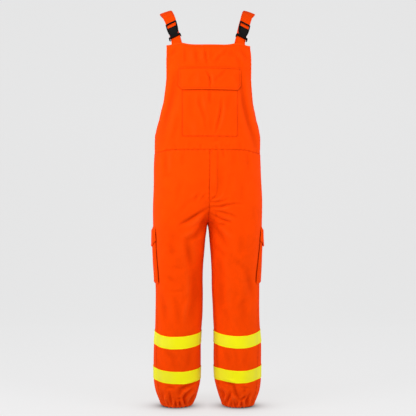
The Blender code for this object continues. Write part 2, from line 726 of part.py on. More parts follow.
def strap_stub(name, side, material):
    """Short strap end, sewn behind the bib and held behind the buckle's lower bar."""
    stations = [(0.004, 0.0), (0.022, 0.0), (0.040, 0.0), (0.056, 0.0),
                (0.066, -0.0008), (0.076, -0.0022), (0.092, -0.0024)]
    stations = [(run, offset, STUB_WIDTH, 0.0) for run, offset in stations]
    return ribbon(name, stations, side, STRAP_CLOTH, material)


def strap(name, side, material):
    """Shoulder strap: once round the buckle's bar, over the shoulder and inside the back panel."""
    bar = BUCKLE_RUN + BAR_UP
    loop = [(0.0030, -0.0004), (-0.0004, -0.0004), (-0.0023, 0.0007), (-0.0029, 0.0023),
            (-0.0022, 0.0040), (0.0002, 0.0050), (0.0034, 0.0044), (0.0066, 0.0018)]
    stations = [(bar + up, offset, STRAP_IN_WINDOW, 0.0) for up, offset in loop]
    stations += [(bar + 0.0096, -0.0003, 0.0330, 0.0), (bar + 0.0130, -0.0009, 0.0360, 0.0)]
    stations += [(bar + 0.0200, -0.0009, STRAP_WIDTH, 0.0)]
    run = bar + 0.0420
    while run < 0.470:
        stations.append((run, -0.0008, STRAP_WIDTH, STRAP_BOW))
        run += 0.0240
    stations += [(0.482, 0.0, STRAP_WIDTH, 0.0005), (0.498, 0.0, STRAP_WIDTH, 0.0),
                 (0.522, 0.0, STRAP_WIDTH, 0.0)]
    return ribbon(name, stations, side, STRAP_CLOTH, material)


# ---------------------------------------------------------------- buckles
def plate(name, outlines, thickness, place, material, bevel=0.0007):
    """A moulded plate with holes: flat outlines given thickness, then rounded at its edges."""
    curve = bpy.data.curves.new(name, "CURVE")
    curve.dimensions = "2D"
    curve.fill_mode = "BOTH"
    curve.extrude = thickness / 2
    for outline in outlines:
        spline = curve.splines.new("POLY")
        spline.points.add(len(outline) - 1)
        for point, (x, y) in zip(spline.points, outline):
            point.co = (x, y, 0, 1)
        spline.use_cyclic_u = True
    drawn = bpy.data.objects.new(name + "_outline", curve)
    bpy.data.collections["bib_overalls"].objects.link(drawn)
    bpy.context.view_layer.update()
    flat = bpy.data.meshes.new_from_object(drawn.evaluated_get(
        bpy.context.evaluated_depsgraph_get()))
    bpy.data.objects.remove(drawn)
    mesh = bmesh.new()
    mesh.from_mesh(flat)
    bpy.data.meshes.remove(flat)
    bmesh.ops.remove_doubles(mesh, verts=mesh.verts, dist=0.00001)
    bmesh.ops.dissolve_limit(mesh, angle_limit=math.radians(1), verts=mesh.verts, edges=mesh.edges)
    bmesh.ops.recalc_face_normals(mesh, faces=mesh.faces)
    part = finished(name, mesh, material)
    part.matrix_world = place
    rounding = part.modifiers.new("rounded edges", "BEVEL")
    rounding.width = bevel
    rounding.segments = 1
    rounding.limit_method = "ANGLE"
    rounding.angle_limit = math.radians(40)
    return part


def buckle_place(side, depth):
    """Matrix of the buckle's own frame: X across, Y up along the strap, Z outwards."""
    point, across, along, out = strap_frame(BUCKLE_RUN, side)
    x_axis = across * side
    z_axis = x_axis.cross(along).normalized()
    matrix = Matrix((x_axis, along, z_axis)).transposed().to_4x4()
    matrix.translation = point + z_axis * depth
    return matrix


def both_halves(right_half):
    """A closed outline from the points of its +X half, top to bottom."""
    return right_half + [(-x, y) for x, y in right_half[::-1]]


def buckle_plug(name, side, material):
    """Upper half: a frame with the strap's window, and two side prongs that point down."""
    outer = both_halves([(0.0175, 0.0360), (0.0200, 0.0352), (0.0213, 0.0328), (0.0213, 0.0200),
                         (0.0210, 0.0110), (0.0203, 0.0020), (0.0188, -0.0060),
                         (0.0166, -0.0130), (0.0150, -0.0130), (0.0144, -0.0060),
                         (0.0144, 0.0118)])
    window = both_halves([(0.0168, 0.0310), (0.0176, 0.0300), (0.0176, 0.0158)])
    return plate(name, [outer, window], 0.0038, buckle_place(side, 0.0028), material)


def buckle_socket(name, side, material):
    """Lower half: a body that narrows downwards, and a bar with two ears beside the stub strap."""
    outer = both_halves([(0.0141, 0.0115), (0.0141, -0.0132), (0.0155, -0.0165),
                         (0.0165, -0.0200), (0.0212, -0.0200), (0.0228, -0.0220),
                         (0.0232, -0.0335), (0.0218, -0.0345), (0.0196, -0.0330),
                         (0.0192, -0.0258)])
    return plate(name, [outer], BUCKLE_THICKNESS, buckle_place(side, 0.0028), material, 0.0012)


def buckle_bar(name, side, material):
    """Round bar across the window that the strap is folded round."""
    bpy.ops.mesh.primitive_cylinder_add(vertices=10, radius=BAR_RADIUS, depth=0.0344)
    bar = bpy.context.object
    bar.name = name
    bar.data.name = name
    bar.data.materials.append(material)
    bar.data.shade_smooth()
    bar.data.set_sharp_from_angle(angle=math.radians(40))
    for collection in list(bar.users_collection):
        collection.objects.unlink(bar)
    bpy.data.collections["bib_overalls"].objects.link(bar)
    across = Matrix.Rotation(math.radians(90), 4, "Y")
    bar.matrix_world = buckle_place(side, BAR_OUT) @ Matrix.Translation((0, BAR_UP, 0)) @ across
    return bar


# ---------------------------------------------------------------- materials
def finish(name, colour, roughness):
    material = bpy.data.materials.new(name)
    material.use_nodes = True
    shader = material.node_tree.nodes["Principled BSDF"]
    shader.inputs["Base Color"].default_value = (*colour, 1.0)
    shader.inputs["Roughness"].default_value = roughness
    shader.inputs["Metallic"].default_value = 0.0
    return material


def orange_twill(name):
    return finish(name + "_twill", (0.95, 0.072, 0.003), 0.85)


def yellow_tape(name):
    return finish(name + "_tape", (0.86, 0.84, 0.006), 0.65)


def black_plastic(name):
    return finish(name + "_plastic", (0.014, 0.012, 0.011), 0.45)


# ---------------------------------------------------------------- the garment
def clear_scene():
    for thing in list(bpy.data.objects):
        bpy.data.objects.remove(thing)
    collection = bpy.data.collections.new("bib_overalls")
    bpy.context.scene.collection.children.link(collection)


def panel(name, cloth):
    return wall(name, cloth.points, cloth.moved(-CLOTH), orange_twill(name))


def build_torso():
    bib = torso_panel(BIB_ROWS, -1, BIB_UPRIGHTS, BIB_SIDE_COLUMNS, BIB, "front_depth")
    back = torso_panel(BACK_ROWS, 1, BACK_UPRIGHTS, BACK_SIDE_COLUMNS, BACK, "back_depth")
    panel("bib_front", bib)
    panel("back_panel", back)
    bib_pocket(bib, orange_twill("bib_pocket"))
    bib_flap(bib, orange_twill("bib_pocket_flap"))


def build_leg(word, side):
    front, back = leg(side)
    panel("trouser_front_" + word, front)
    panel("trouser_back_" + word, back)
    for band, top, bottom in TAPE_BANDS:
        for face, cloth, rise in (("front", front, 0.0), ("back", back, BACK_BAND_RISE)):
            name = f"{band}_{face}_{word}"
            tape(name, cloth, LEG_ROWS, top + rise, bottom + rise, yellow_tape(name))
    if side > 0:
        fly_placket(front, orange_twill("fly_placket"))
    side_cloth = leg_side(front, back)
    cargo_pocket("cargo_pocket_" + word, side_cloth, orange_twill("cargo_pocket_" + word))
    cargo_flap("cargo_flap_" + word, side_cloth, orange_twill("cargo_flap_" + word))


def build_strap(word, side):
    strap("strap_" + word, side, orange_twill("strap_" + word))
    strap_stub("strap_stub_" + word, side, orange_twill("strap_stub_" + word))
    buckle_plug("buckle_plug_" + word, side, black_plastic("buckle_plug_" + word))
    buckle_socket("buckle_socket_" + word, side, black_plastic("buckle_socket_" + word))
    buckle_bar("buckle_bar_" + word, side, black_plastic("buckle_bar_" + word))


def main():
    clear_scene()
    build_torso()
    for word, side in SIDES.items():
        build_leg(word, side)
        build_strap(word, side)


main()
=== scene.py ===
"""Dresses the packed bib overalls: fine cloth with its creases, sewing, tape, straps and buckles.

Each cloth piece is a thin wall on the same form as its packed solid, sampled much finer, with the
creases of the photographed garment pressed into it. All sizes are in metres, in the packed frame.
"""
import functools
import json
import math

import bpy
import numpy as np
from bpy.props import FloatProperty, FloatVectorProperty, PointerProperty
from mathutils import Matrix, Vector

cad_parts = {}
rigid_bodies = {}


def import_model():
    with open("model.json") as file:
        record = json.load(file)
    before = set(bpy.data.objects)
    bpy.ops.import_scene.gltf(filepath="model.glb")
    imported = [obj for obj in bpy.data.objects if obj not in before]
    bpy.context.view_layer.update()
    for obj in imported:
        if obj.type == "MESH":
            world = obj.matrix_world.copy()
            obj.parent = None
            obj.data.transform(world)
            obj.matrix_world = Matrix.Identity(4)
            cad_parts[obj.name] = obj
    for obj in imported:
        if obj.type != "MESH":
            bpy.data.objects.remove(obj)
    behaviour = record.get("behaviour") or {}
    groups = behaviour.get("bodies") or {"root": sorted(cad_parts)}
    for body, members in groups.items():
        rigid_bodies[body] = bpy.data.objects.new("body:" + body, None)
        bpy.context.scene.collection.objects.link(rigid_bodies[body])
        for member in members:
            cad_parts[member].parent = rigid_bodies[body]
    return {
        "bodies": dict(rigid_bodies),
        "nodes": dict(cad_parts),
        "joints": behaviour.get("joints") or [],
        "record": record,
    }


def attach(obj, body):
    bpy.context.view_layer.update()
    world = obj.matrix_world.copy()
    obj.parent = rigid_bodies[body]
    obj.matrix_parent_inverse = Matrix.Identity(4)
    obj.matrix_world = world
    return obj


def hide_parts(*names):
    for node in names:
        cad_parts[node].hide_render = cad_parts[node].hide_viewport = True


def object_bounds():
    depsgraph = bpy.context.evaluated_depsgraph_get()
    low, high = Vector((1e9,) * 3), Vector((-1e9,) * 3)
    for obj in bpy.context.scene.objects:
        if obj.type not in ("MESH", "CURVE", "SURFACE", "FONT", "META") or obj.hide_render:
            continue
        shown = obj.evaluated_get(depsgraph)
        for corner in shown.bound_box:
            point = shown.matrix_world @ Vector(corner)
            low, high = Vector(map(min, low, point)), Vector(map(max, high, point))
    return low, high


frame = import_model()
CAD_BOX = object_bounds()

bl_info = {
    "name": "Bib Overalls Dresser",
    "version": (1, 0, 0),
    "blender": (4, 5, 0),
    "location": "View3D > Sidebar > Overalls",
    "description": "Makes the cloth, sewing, bands and buckles of a pair of bib overalls",
    "category": "Object",
}

# ---------------------------------------------------------------- sizes of the cut, as the solids'
WAIST = -0.5160             # heights count down from the tops of the straps
CROTCH = -0.7720
RISE = 0.150                # height over which the two legs part
HEM = -1.4370
CUFF_START = -1.3660
FRONT_GATHERS = 9           # waves of the gathered hem on each front
BACK_GATHERS = 7
GATHER_DEPTH = 0.0030
HEM_SCALLOP = 0.0022        # how unevenly the hem's edge hangs
STRAP_WIDTH = 0.040
STRAP_IN_WINDOW = 0.0320    # width where the strap goes round the buckle's bar
STUB_WIDTH = 0.036          # of the strap's short end on the bib
TORSO_SQUARENESS = 2.5      # 2 is an ellipse, more is squarer
BIB_EDGE_RISE = 0.0088      # of the bib's top edge, where the straps pull at it
BIB_CORNER_RISE = 0.0030
BIB_TOP = -0.1449
BACK_TOP = -0.2050
BIB_ARMHOLE_FOOT = -0.4650
BACK_ARMHOLE_FOOT = -0.4600
STRAIGHT_START = 0.082      # runs along the strap between which the buckle keeps it straight
STRAIGHT_END = 0.146
BUCKLE_RUN = 0.1080         # run at the buckle's middle
BAR_UP = 0.0195             # and from there up to its bar
SIDES = {"left": -1, "right": 1}    # the photo's left and right
BODY = "root"


def table(columns, *rows):
    """A short table with named columns, one row for each section."""
    return {name: np.array([row[place] for row in rows], float)
            for place, name in enumerate(columns.split())}


BIB = table(
    "height  edge_half_width  edge_depth  depth",
    (-0.1300, 0.1480, -0.0730, 0.1110),
    (-0.1565, 0.1496, -0.0720, 0.1130),
    (-0.1918, 0.1515, -0.0700, 0.1150),
    (-0.2550, 0.1520, -0.0650, 0.1175),
    (-0.2761, 0.1537, -0.0620, 0.1180),
    (-0.3180, 0.1577, -0.0550, 0.1180),
    (-0.3388, 0.1600, -0.0500, 0.1180),
    (-0.3598, 0.1650, -0.0440, 0.1180),
    (-0.3805, 0.1706, -0.0380, 0.1175),
    (-0.4015, 0.1756, -0.0310, 0.1170),
    (-0.4225, 0.1825, -0.0240, 0.1160),
    (-0.4435, 0.1872, -0.0160, 0.1155),
    (-0.4646, 0.1908, -0.0090, 0.1150),
    (-0.5200, 0.1917, -0.0080, 0.1145),
)
BACK = table(
    "height  edge_half_width  edge_depth  depth",
    (-0.2050, 0.1180, 0.0960, 0.1180),
    (-0.2600, 0.1230, 0.0940, 0.1190),
    (-0.3200, 0.1340, 0.0880, 0.1170),
    (-0.3700, 0.1480, 0.0760, 0.1130),
    (-0.4100, 0.1640, 0.0560, 0.1090),
    (-0.4400, 0.1810, 0.0280, 0.1070),
    (-0.4600, 0.1903, -0.0080, 0.1060),
    (-0.5200, 0.1917, -0.0080, 0.1050),
)
LEGS = table(
    "height  outer_half_width  inner_half_width  front_depth  back_depth  squareness",
    (-0.5100, 0.1917, 0.0000, 0.1145, 0.1050, 2.50),
    (-0.5731, 0.1954, 0.0000, 0.1165, 0.1110, 2.50),
    (-0.6610, 0.1974, 0.0000, 0.1180, 0.1220, 2.48),
    (-0.7200, 0.1984, 0.0000, 0.1170, 0.1260, 2.40),
    (-0.7720, 0.1980, 0.0004, 0.1130, 0.1240, 2.32),
    (-0.7924, 0.1978, 0.0037, 0.1110, 0.1210, 2.30),
    (-0.8363, 0.1968, 0.0073, 0.1060, 0.1150, 2.26),
    (-0.9020, 0.1945, 0.0128, 0.1000, 0.1070, 2.22),
    (-0.9677, 0.1905, 0.0164, 0.0950, 0.1010, 2.20),
    (-1.0554, 0.1880, 0.0183, 0.0920, 0.0960, 2.20),
    (-1.1100, 0.1898, 0.0192, 0.0930, 0.0950, 2.20),
    (-1.1650, 0.1926, 0.0219, 0.0950, 0.0960, 2.20),
    (-1.2200, 0.1954, 0.0230, 0.0950, 0.0970, 2.20),
    (-1.2745, 0.1954, 0.0237, 0.0930, 0.0960, 2.20),
    (-1.3400, 0.1954, 0.0256, 0.0900, 0.0940, 2.20),
    (-1.3620, 0.1938, 0.0292, 0.0880, 0.0920, 2.20),
    (-1.3840, 0.1900, 0.0347, 0.0820, 0.0860, 2.15),
    (-1.4060, 0.1826, 0.0420, 0.0730, 0.0760, 2.10),
    (-1.4280, 0.1735, 0.0511, 0.0600, 0.0640, 2.05),
    (-1.4400, 0.1700, 0.0550, 0.0550, 0.0590, 2.00),
)
SEAMS = table(
    "height  side_turn  inseam_turn_left  inseam_turn_right  front_droop",
    (-0.5100, 4.0, 0.0, 0.0, 0.0),
    (-0.7720, 8.0, 0.0, 0.0, 0.0),
    (-0.8600, 12.0, 2.0, 4.0, 0.0),
    (-1.0000, 18.0, 4.0, 14.0, 0.001),
    (-1.1700, 30.0, 6.0, 26.0, 0.005),
    (-1.2200, 33.0, 6.0, 29.0, 0.005),
    (-1.3000, 37.0, 6.0, 31.0, 0.001),
    (-1.3600, 40.0, 6.0, 32.0, 0.0),
    (-1.4400, 40.0, 6.0, 32.0, 0.0),
)
STANCE = table(
    "height  turn",
    (-1.0500, 0.0),
    (-0.9000, 1.6),
    (-0.7500, 3.4),
    (-0.6000, 4.2),
    (-0.4500, 5.0),
    (-0.1800, 4.6),
    (-0.1200, 2.2),
    (-0.0540, 2.2),
    (0.0000, 0.0),
)
FOLDS = table(
    "side  x_start  z_start  x_end  z_end  half_width  depth",
    (-1, -0.004, -0.722, -0.094, -0.781, 0.0085, 0.0045),
    (1, 0.014, -0.720, 0.086, -0.709, 0.0080, 0.0032),
    (1, 0.016, -0.748, 0.072, -0.768, 0.0080, 0.0030),
    (-1, -0.060, -0.860, -0.030, -1.060, 0.0180, 0.0035),
    (1, 0.162, -0.930, 0.150, -1.080, 0.0160, 0.0030),
)
STRAP_LINE = table(
    "run  x  y  z  roll  sweep  lean",
    (0.000, 0.1105, -0.0935, -0.1960, 10.0, 23.5, 0.0000),
    (0.046, 0.1125, -0.0910, -0.1500, 14.0, 23.5, 0.0000),
    (0.082, 0.1172, -0.0860, -0.1145, 17.5, 20.0, 0.0000),
    (0.146, 0.1327, -0.0625, -0.0570, 17.5, 20.0, 0.0000),
    (0.178, 0.1405, -0.0440, -0.0310, 17.5, 12.0, 0.0000),
    (0.208, 0.1480, -0.0220, -0.0125, 17.5, 6.0, 0.0000),
    (0.229, 0.1545, -0.0030, -0.0060, 17.5, 2.0, 0.0000),
    (0.246, 0.1553, 0.0140, -0.0045, 17.5, -6.0, 0.0000),
    (0.271, 0.1470, 0.0380, -0.0085, 17.0, -16.0, 0.0000),
    (0.306, 0.1382, 0.0660, -0.0285, 15.0, -19.0, 0.0030),
    (0.348, 0.1278, 0.0870, -0.0630, 12.0, -19.0, 0.0056),
    (0.393, 0.1170, 0.0960, -0.1040, 9.0, -18.0, 0.0070),
    (0.439, 0.1055, 0.0985, -0.1480, 7.0, -18.0, 0.0045),
    (0.485, 0.0945, 0.1005, -0.1930, 5.0, -18.0, 0.0015),
    (0.529, 0.0880, 0.1035, -0.2360, 4.0, -17.0, 0.0000),
)

# Creases, in millimetres: half width, depth (less than zero for a ridge), then the places (x, z)
# that it runs through, as the garment is seen from the front or through it from the front.
FRONT_CREASES = (
    # the chest above the flap
    (5, 2.0, (-7, -156), (-5, -190), (0, -216)),
    (3, 1.2, (-80, -152), (-78, -212)),
    (6, 1.5, (-42, -158), (-38, -190), (-35, -214)),
    (6, 1.9, (68, -163), (48, -182), (27, -207)),
    (8, 1.6, (114, -156), (130, -172), (145, -194)),
    (8, 1.4, (-137, -180), (-120, -166), (-104, -154)),
    (7, 1.1, (100, -170), (112, -200), (118, -230)),
    (6, -1.0, (44, -160), (52, -178), (44, -196)),
    (6, -0.9, (-20, -160), (-20, -206)),
    (9, -0.9, (-60, -160), (-58, -208)),
    (10, 1.2, (88, -162), (84, -186)),
    (7, 0.9, (14, -166), (16, -200)),
    # the flap and the pocket
    (4.0, 2.5, (-3, -238), (9, -262), (11, -276), (9, -298)),
    (6, -1.0, (16, -246), (20, -290)),
    (5, 1.5, (64, -234), (46, -252), (26, -272)),
    (7, 1.1, (102, -252), (104, -274)),
    (6, 0.9, (-56, -256), (-62, -280)),
    (8, -0.8, (-34, -240), (-36, -292)),
    (5, 1.9, (8, -306), (9, -332), (10, -352)),
    (6, 1.5, (-27, -314), (-28, -346), (-24, -362), (-8, -406), (-4, -454)),
    (4.5, 2.3, (50, -330), (48, -372), (40, -412), (28, -460)),
    (6, -1.3, (60, -352), (56, -392), (46, -436)),
    (7, -1.0, (-14, -330), (-8, -372)),
    (9, 1.0, (76, -322), (70, -372)),
    (10, 0.9, (-62, -320), (-58, -400)),
    (9, 0.9, (14, -400), (10, -458)),
    (12, -0.9, (-50, -420), (-44, -462)),
    # the long soft folds at the sides of the bib
    (10, 3.0, (116, -250), (122, -300), (132, -352), (148, -412), (166, -466), (178, -508)),
    (14, 2.6, (-112, -244), (-122, -310), (-140, -372), (-156, -430), (-160, -470)),
    (9, -1.2, (140, -250), (152, -350), (170, -440)),
    (9, -1.0, (-134, -260), (-150, -340), (-172, -430)),
    (8, 1.1, (-106, -392), (-112, -440), (-128, -492)),
    # little puckers along the waist
    (4, 1.2, (30, -500), (34, -512)),
    (4, 1.0, (52, -494), (48, -512)),
    (4, 1.2, (66, -498), (70, -512)),
    (4, 0.9, (80, -492), (77, -512)),
    (6, 1.0, (18, -486), (44, -478)),
    (5, 0.8, (-24, -492), (-20, -512)),
    (6, 0.9, (-62, -490), (-58, -512)),
    (6, 0.9, (-118, -490), (-112, -512)),
    (6, 0.9, (112, -488), (118, -512)),
    (4, 1.2, (57, -519), (58, -542)),
    (8, 1.4, (-148, -520), (-150, -556), (-146, -600)),
    (7, -0.8, (-130, -522), (-132, -580)),
    (8, 1.1, (140, -522), (146, -580)),
    (9, 0.9, (-84, -524), (-90, -566)),
    (9, 0.9, (92, -524), (96, -572)),
    (7, 0.8, (-150, -606), (-118, -602)),
    # the cloth is drawn to the foot of the fly
    (13, 1.3, (48, -588), (47, -628), (38, -660)),
    (7, 1.1, (14, -640), (26, -664)),
    (5, 1.4, (-4, -668), (-14, -682), (-28, -694)),
    (6, 1.2, (-34, -672), (-44, -700)),
    (3.5, 1.9, (10, -700), (32, -700), (56, -694), (76, -684)),
    (3.5, -1.6, (22, -694), (42, -686), (58, -668)),
    (3.5, 1.3, (12, -684), (30, -682)),
    (3.5, 2.2, (8, -716), (44, -716), (72, -708), (100, -704), (122, -706)),
    (4.5, -1.4, (40, -724), (76, -720)),
    (4, 2.3, (22, -730), (56, -736), (84, -743), (104, -754)),
    (5, -1.5, (52, -750), (92, -762)),
    (3.5, 2.2, (16, -742), (44, -757), (84, -772)),
    (4, 1.6, (30, -736), (34, -752)),
    (5, 2.2, (38, -779), (62, -779)),
    (4, 2.9, (2, -718), (-22, -733), (-52, -752), (-76, -767), (-98, -779)),
    (9, -2.2, (-14, -744), (-42, -768), (-74, -790)),
    (6, 0.9, (-20, -668), (-62, -700)),
    (7, 0.8, (-60, -690), (-104, -742)),
    (9, 0.7, (-92, -620), (-110, -700)),
    (9, 0.8, (84, -600), (70, -660)),
    (9, 0.8, (120, -620), (126, -700)),
    # the thighs
    (10, 3.3, (-6, -738), (-14, -766), (-22, -794), (-40, -816), (-64, -832)),
    (9, -1.6, (-40, -790), (-56, -806), (-84, -820)),
    (10, 2.6, (-72, -834), (-66, -872), (-58, -930)),
    (9, 2.7, (22, -770), (34, -800), (52, -826), (64, -850)),
    (8, -1.6, (60, -798), (84, -822)),
    (8, 1.5, (32, -859), (64, -890)),
    (10, 1.4, (40, -884), (52, -960)),
    (12, 1.1, (-120, -810), (-128, -900)),
    (12, 1.1, (116, -800), (122, -890)),
    (9, 0.9, (-150, -840), (-120, -870)),
    (9, 1.0, (96, -900), (130, -936)),
    # knees and shins
    (5, 0.6, (-156, -1013), (-120, -1016), (-78, -1014)),
    (15, 2.6, (-30, -905), (-42, -960), (-44, -1040), (-56, -1120)),
    (8, -1.2, (-66, -960), (-68, -1040), (-84, -1120)),
    (14, 2.2, (38, -930), (46, -1000), (44, -1090)),
    (10, 2.0, (136, -930), (146, -968), (162, -1040)),
    (13, 1.6, (130, -1040), (126, -1130)),
    (12, 1.7, (-160, -1030), (-150, -1120)),
    (7, 0.8, (-148, -880), (-96, -872)),
    (8, 0.9, (-130, -925), (-86, -936)),
    (9, 1.1, (-150, -960), (-110, -984)),
    (12, 1.3, (-112, -1040), (-100, -1130)),
    (9, 1.1, (-64, -1020), (-84, -1060)),
    (12, 0.8, (100, -1010), (94, -1110)),
    (10, 1.1, (64, -1060), (74, -1140)),
    (9, 1.0, (134, -1040), (108, -1082)),
    (9, 1.2, (-150, -1224), (-124, -1250), (-112, -1290)),
    (9, 1.1, (-60, -1226), (-72, -1288)),
    (9, 1.2, (58, -1226), (74, -1256), (78, -1292)),
    (9, 1.0, (140, -1228), (128, -1288)),
    (12, 0.9, (100, -1224), (104, -1290)),
    # the crumpled cuff on the -X side
    (5, 1.8, (-145, -1356), (-118, -1357)),
    (4.5, 3.0, (-134, -1374), (-130, -1406), (-126, -1424)),
    (8, -2.0, (-152, -1390), (-146, -1410)),
    (6, 3.4, (-36, -1341), (-72, -1353), (-96, -1363), (-102, -1385)),
    (4, 2.0, (-106, -1399), (-94, -1397)),
    (5, 4.6, (-55, -1364), (-76, -1382), (-84, -1397), (-82, -1416)),
    (7, -2.8, (-49, -1378), (-68, -1394), (-74, -1411)),
    (7, -2.4, (-64, -1360), (-88, -1386)),
    (5, 4.2, (-49, -1390), (-60, -1411), (-68, -1430)),
    (4, 3.0, (-80, -1406), (-78, -1434)),
    (4, 2.6, (-100, -1410), (-98, -1434)),
    (4, 2.4, (-114, -1412), (-112, -1434)),
    (4, 2.2, (-142, -1408), (-138, -1434)),
    (5, 1.5, (-160, -1376), (-156, -1410)),
    (4, -2.6, (-152, -1390), (-148, -1406)),
    (4, -2.8, (-121, -1402), (-119, -1428)),
    (3.5, -2.6, (-106, -1406), (-105, -1430)),
    (4, -3.0, (-90, -1402), (-88, -1430)),
    # and on the +X side
    (6, 3.4, (55, -1337), (93, -1347), (103, -1379), (113, -1401)),
    (4.5, 3.0, (53, -1371), (61, -1402)),
    (8, -2.0, (62, -1360), (70, -1378)),
    (5, 3.2, (85, -1374), (77, -1397), (73, -1418)),
    (7, -2.8, (91, -1386), (101, -1399)),
    (5, 2.2, (133, -1360), (129, -1374)),
    (4, 1.5, (122, -1357), (146, -1357)),
    (4.5, 3.5, (138, -1386), (117, -1407)),
    (4, 3.0, (95, -1409), (101, -1434)),
    (4, 2.6, (108, -1408), (106, -1430)),
    (4, 2.6, (137, -1399), (136, -1420)),
    (5, 3.5, (151, -1379), (145, -1395), (140, -1426)),
    (4, 2.2, (84, -1412), (86, -1434)),
    (4, 2.4, (122, -1410), (120, -1434)),
    (4, 2.2, (66, -1410), (70, -1432)),
    (7, -2.6, (40, -1350), (47, -1370)),
    (4, -2.8, (66, -1394), (64, -1408)),
    (3.5, -2.6, (79, -1402), (80, -1430)),
    (5, -2.4, (87, -1382), (91, -1396)),
    (4, -2.8, (113, -1406), (114, -1430)),
    (4, -2.6, (129, -1402), (130, -1430)),
    (4, -2.6, (151, -1394), (149, -1424)),
)
BACK_CREASES = (
    # the back panel hangs from the straps
    (7, 1.4, (-78, -232), (-64, -300), (-58, -360)),
    (7, 1.3, (80, -232), (68, -296), (60, -350)),
    (9, 1.0, (0, -215), (4, -290)),
    (8, 1.1, (-40, -222), (-8, -262)),
    (12, 2.0, (118, -280), (132, -360), (158, -440)),
    (12, 2.0, (-118, -280), (-132, -360), (-158, -440)),
    (7, 1.3, (-30, -400), (-24, -500)),
    (7, 1.1, (36, -390), (30, -496)),
    (8, 1.0, (-84, -420), (-96, -490)),
    (8, -0.9, (8, -330), (6, -420)),
    (5, 1.0, (-90, -494), (-86, -512)),
    (5, 1.0, (84, -492), (90, -512)),
    (5, 0.9, (20, -496), (24, -512)),
    (5, 0.9, (-50, -494), (-46, -512)),
    (9, 1.1, (-120, -520), (-126, -590)),
    (9, 1.1, (116, -520), (124, -596)),
    # the seat
    (5, 2.6, (-8, -742), (-44, -768), (-86, -782)),
    (5, 2.6, (8, -744), (40, -766), (88, -786)),
    (5, 2.0, (10, -716), (52, -730), (96, -728)),
    (5, 1.9, (-12, -722), (-52, -732), (-90, -726)),
    (4.5, 1.5, (10, -690), (44, -700), (70, -694)),
    (9, 2.4, (-28, -812), (-74, -828), (-120, -826)),
    (9, 2.4, (30, -814), (78, -832), (118, -828)),
    (8, -1.4, (-30, -792), (-90, -806)),
    (8, -1.4, (32, -794), (92, -810)),
    (7, 1.1, (-60, -600), (-48, -660)),
    (7, 1.1, (64, -596), (52, -662)),
    # behind the knees
    (7, 2.4, (-44, -1010), (-90, -1028), (-134, -1020)),
    (7, 2.0, (-52, -1044), (-100, -1052)),
    (8, -1.4, (-56, -1030), (-110, -1038)),
    (7, 2.4, (48, -1016), (92, -1030), (140, -1018)),
    (7, 1.9, (60, -1046), (108, -1058)),
    (8, -1.4, (60, -1032), (116, -1040)),
    (9, 1.5, (-60, -900), (-80, -980)),
    (9, 1.5, (66, -894), (84, -976)),
    (12, 1.4, (-96, -1070), (-104, -1150)),
    (12, 1.4, (92, -1072), (104, -1150)),
    (9, 1.2, (-70, -1226), (-84, -1290)),
    (9, 1.2, (130, -1226), (112, -1290)),
    # the gathered hems
    (6, 3.2, (-58, -1344), (-84, -1360), (-96, -1392)),
    (5, 3.6, (-60, -1372), (-72, -1396), (-78, -1424)),
    (4.5, 3.0, (-104, -1384), (-100, -1424)),
    (5, 3.2, (-140, -1366), (-126, -1390), (-122, -1426)),
    (4, 2.6, (-146, -1396), (-142, -1430)),
    (4, 2.4, (-88, -1404), (-88, -1432)),
    (6, 3.0, (142, -1346), (118, -1362), (112, -1390)),
    (5, 3.4, (62, -1374), (76, -1394), (78, -1426)),
    (4.5, 3.0, (96, -1380), (98, -1424)),
    (5, 3.2, (140, -1378), (132, -1402), (134, -1428)),
    (4, 2.4, (112, -1404), (114, -1432)),
    (4, 2.4, (86, -1406), (88, -1432)),
)


# ---------------------------------------------------------------- settings a user would change
class OverallsCloth(bpy.types.PropertyGroup):
    """Sizes and colour of the twill."""

    colour: FloatVectorProperty(name="Cloth colour", description="Colour of the orange twill",
                                subtype="COLOR", size=3, min=0, max=1,
                                default=(0.820, 0.0520, 0.0007))
    thickness: FloatProperty(name="Cloth thickness", description="Thickness of one layer of twill",
                             subtype="DISTANCE", unit="LENGTH", default=0.0014, min=0.0005,
                             max=0.003)
    weave_pitch: FloatProperty(name="Twill pitch", description="Distance from one twill line on",
                               subtype="DISTANCE", unit="LENGTH", default=0.0011, min=0.0003)
    creasing: FloatProperty(name="Creasing", description="How deep the creases are pressed",
                            subtype="FACTOR", default=1.45, min=0, max=2.0)


class OverallsSewing(bpy.types.PropertyGroup):
    """Sizes of the stitches."""

    colour: FloatVectorProperty(name="Thread colour", description="Colour of the sewing thread",
                                subtype="COLOR", size=3, min=0, max=1,
                                default=(0.880, 0.0560, 0.0030))
    pitch: FloatProperty(name="Stitch pitch", description="Distance from one stitch to the next",
                         subtype="DISTANCE", unit="LENGTH", default=0.0034, min=0.001)
    length: FloatProperty(name="Stitch length", description="Length of thread that shows",
                          subtype="DISTANCE", unit="LENGTH", default=0.0026, min=0.0005)
    radius: FloatProperty(name="Thread radius", description="Half the thickness of the thread",
                          subtype="DISTANCE", unit="LENGTH", default=0.00042, min=0.0001)


class OverallsTape(bpy.types.PropertyGroup):
    """Sizes and colour of the yellow tape."""

    colour: FloatVectorProperty(name="Tape colour", description="Colour of the tape",
                                subtype="COLOR", size=3, min=0, max=1,
                                default=(0.800, 0.760, 0.0040))
    thickness: FloatProperty(name="Tape thickness", description="Thickness of the tape",
                             subtype="DISTANCE", unit="LENGTH", default=0.0008, min=0.0002)


class OverallsBuckle(bpy.types.PropertyGroup):
    """Finish of the moulded buckles."""

    colour: FloatVectorProperty(name="Buckle colour", description="Colour of the moulded plastic",
                                subtype="COLOR", size=3, min=0, max=1,
                                default=(0.0012, 0.0010, 0.0010))
    roughness: FloatProperty(name="Buckle roughness", description="Roughness of the plastic",
                             subtype="FACTOR", default=0.46, min=0, max=1)


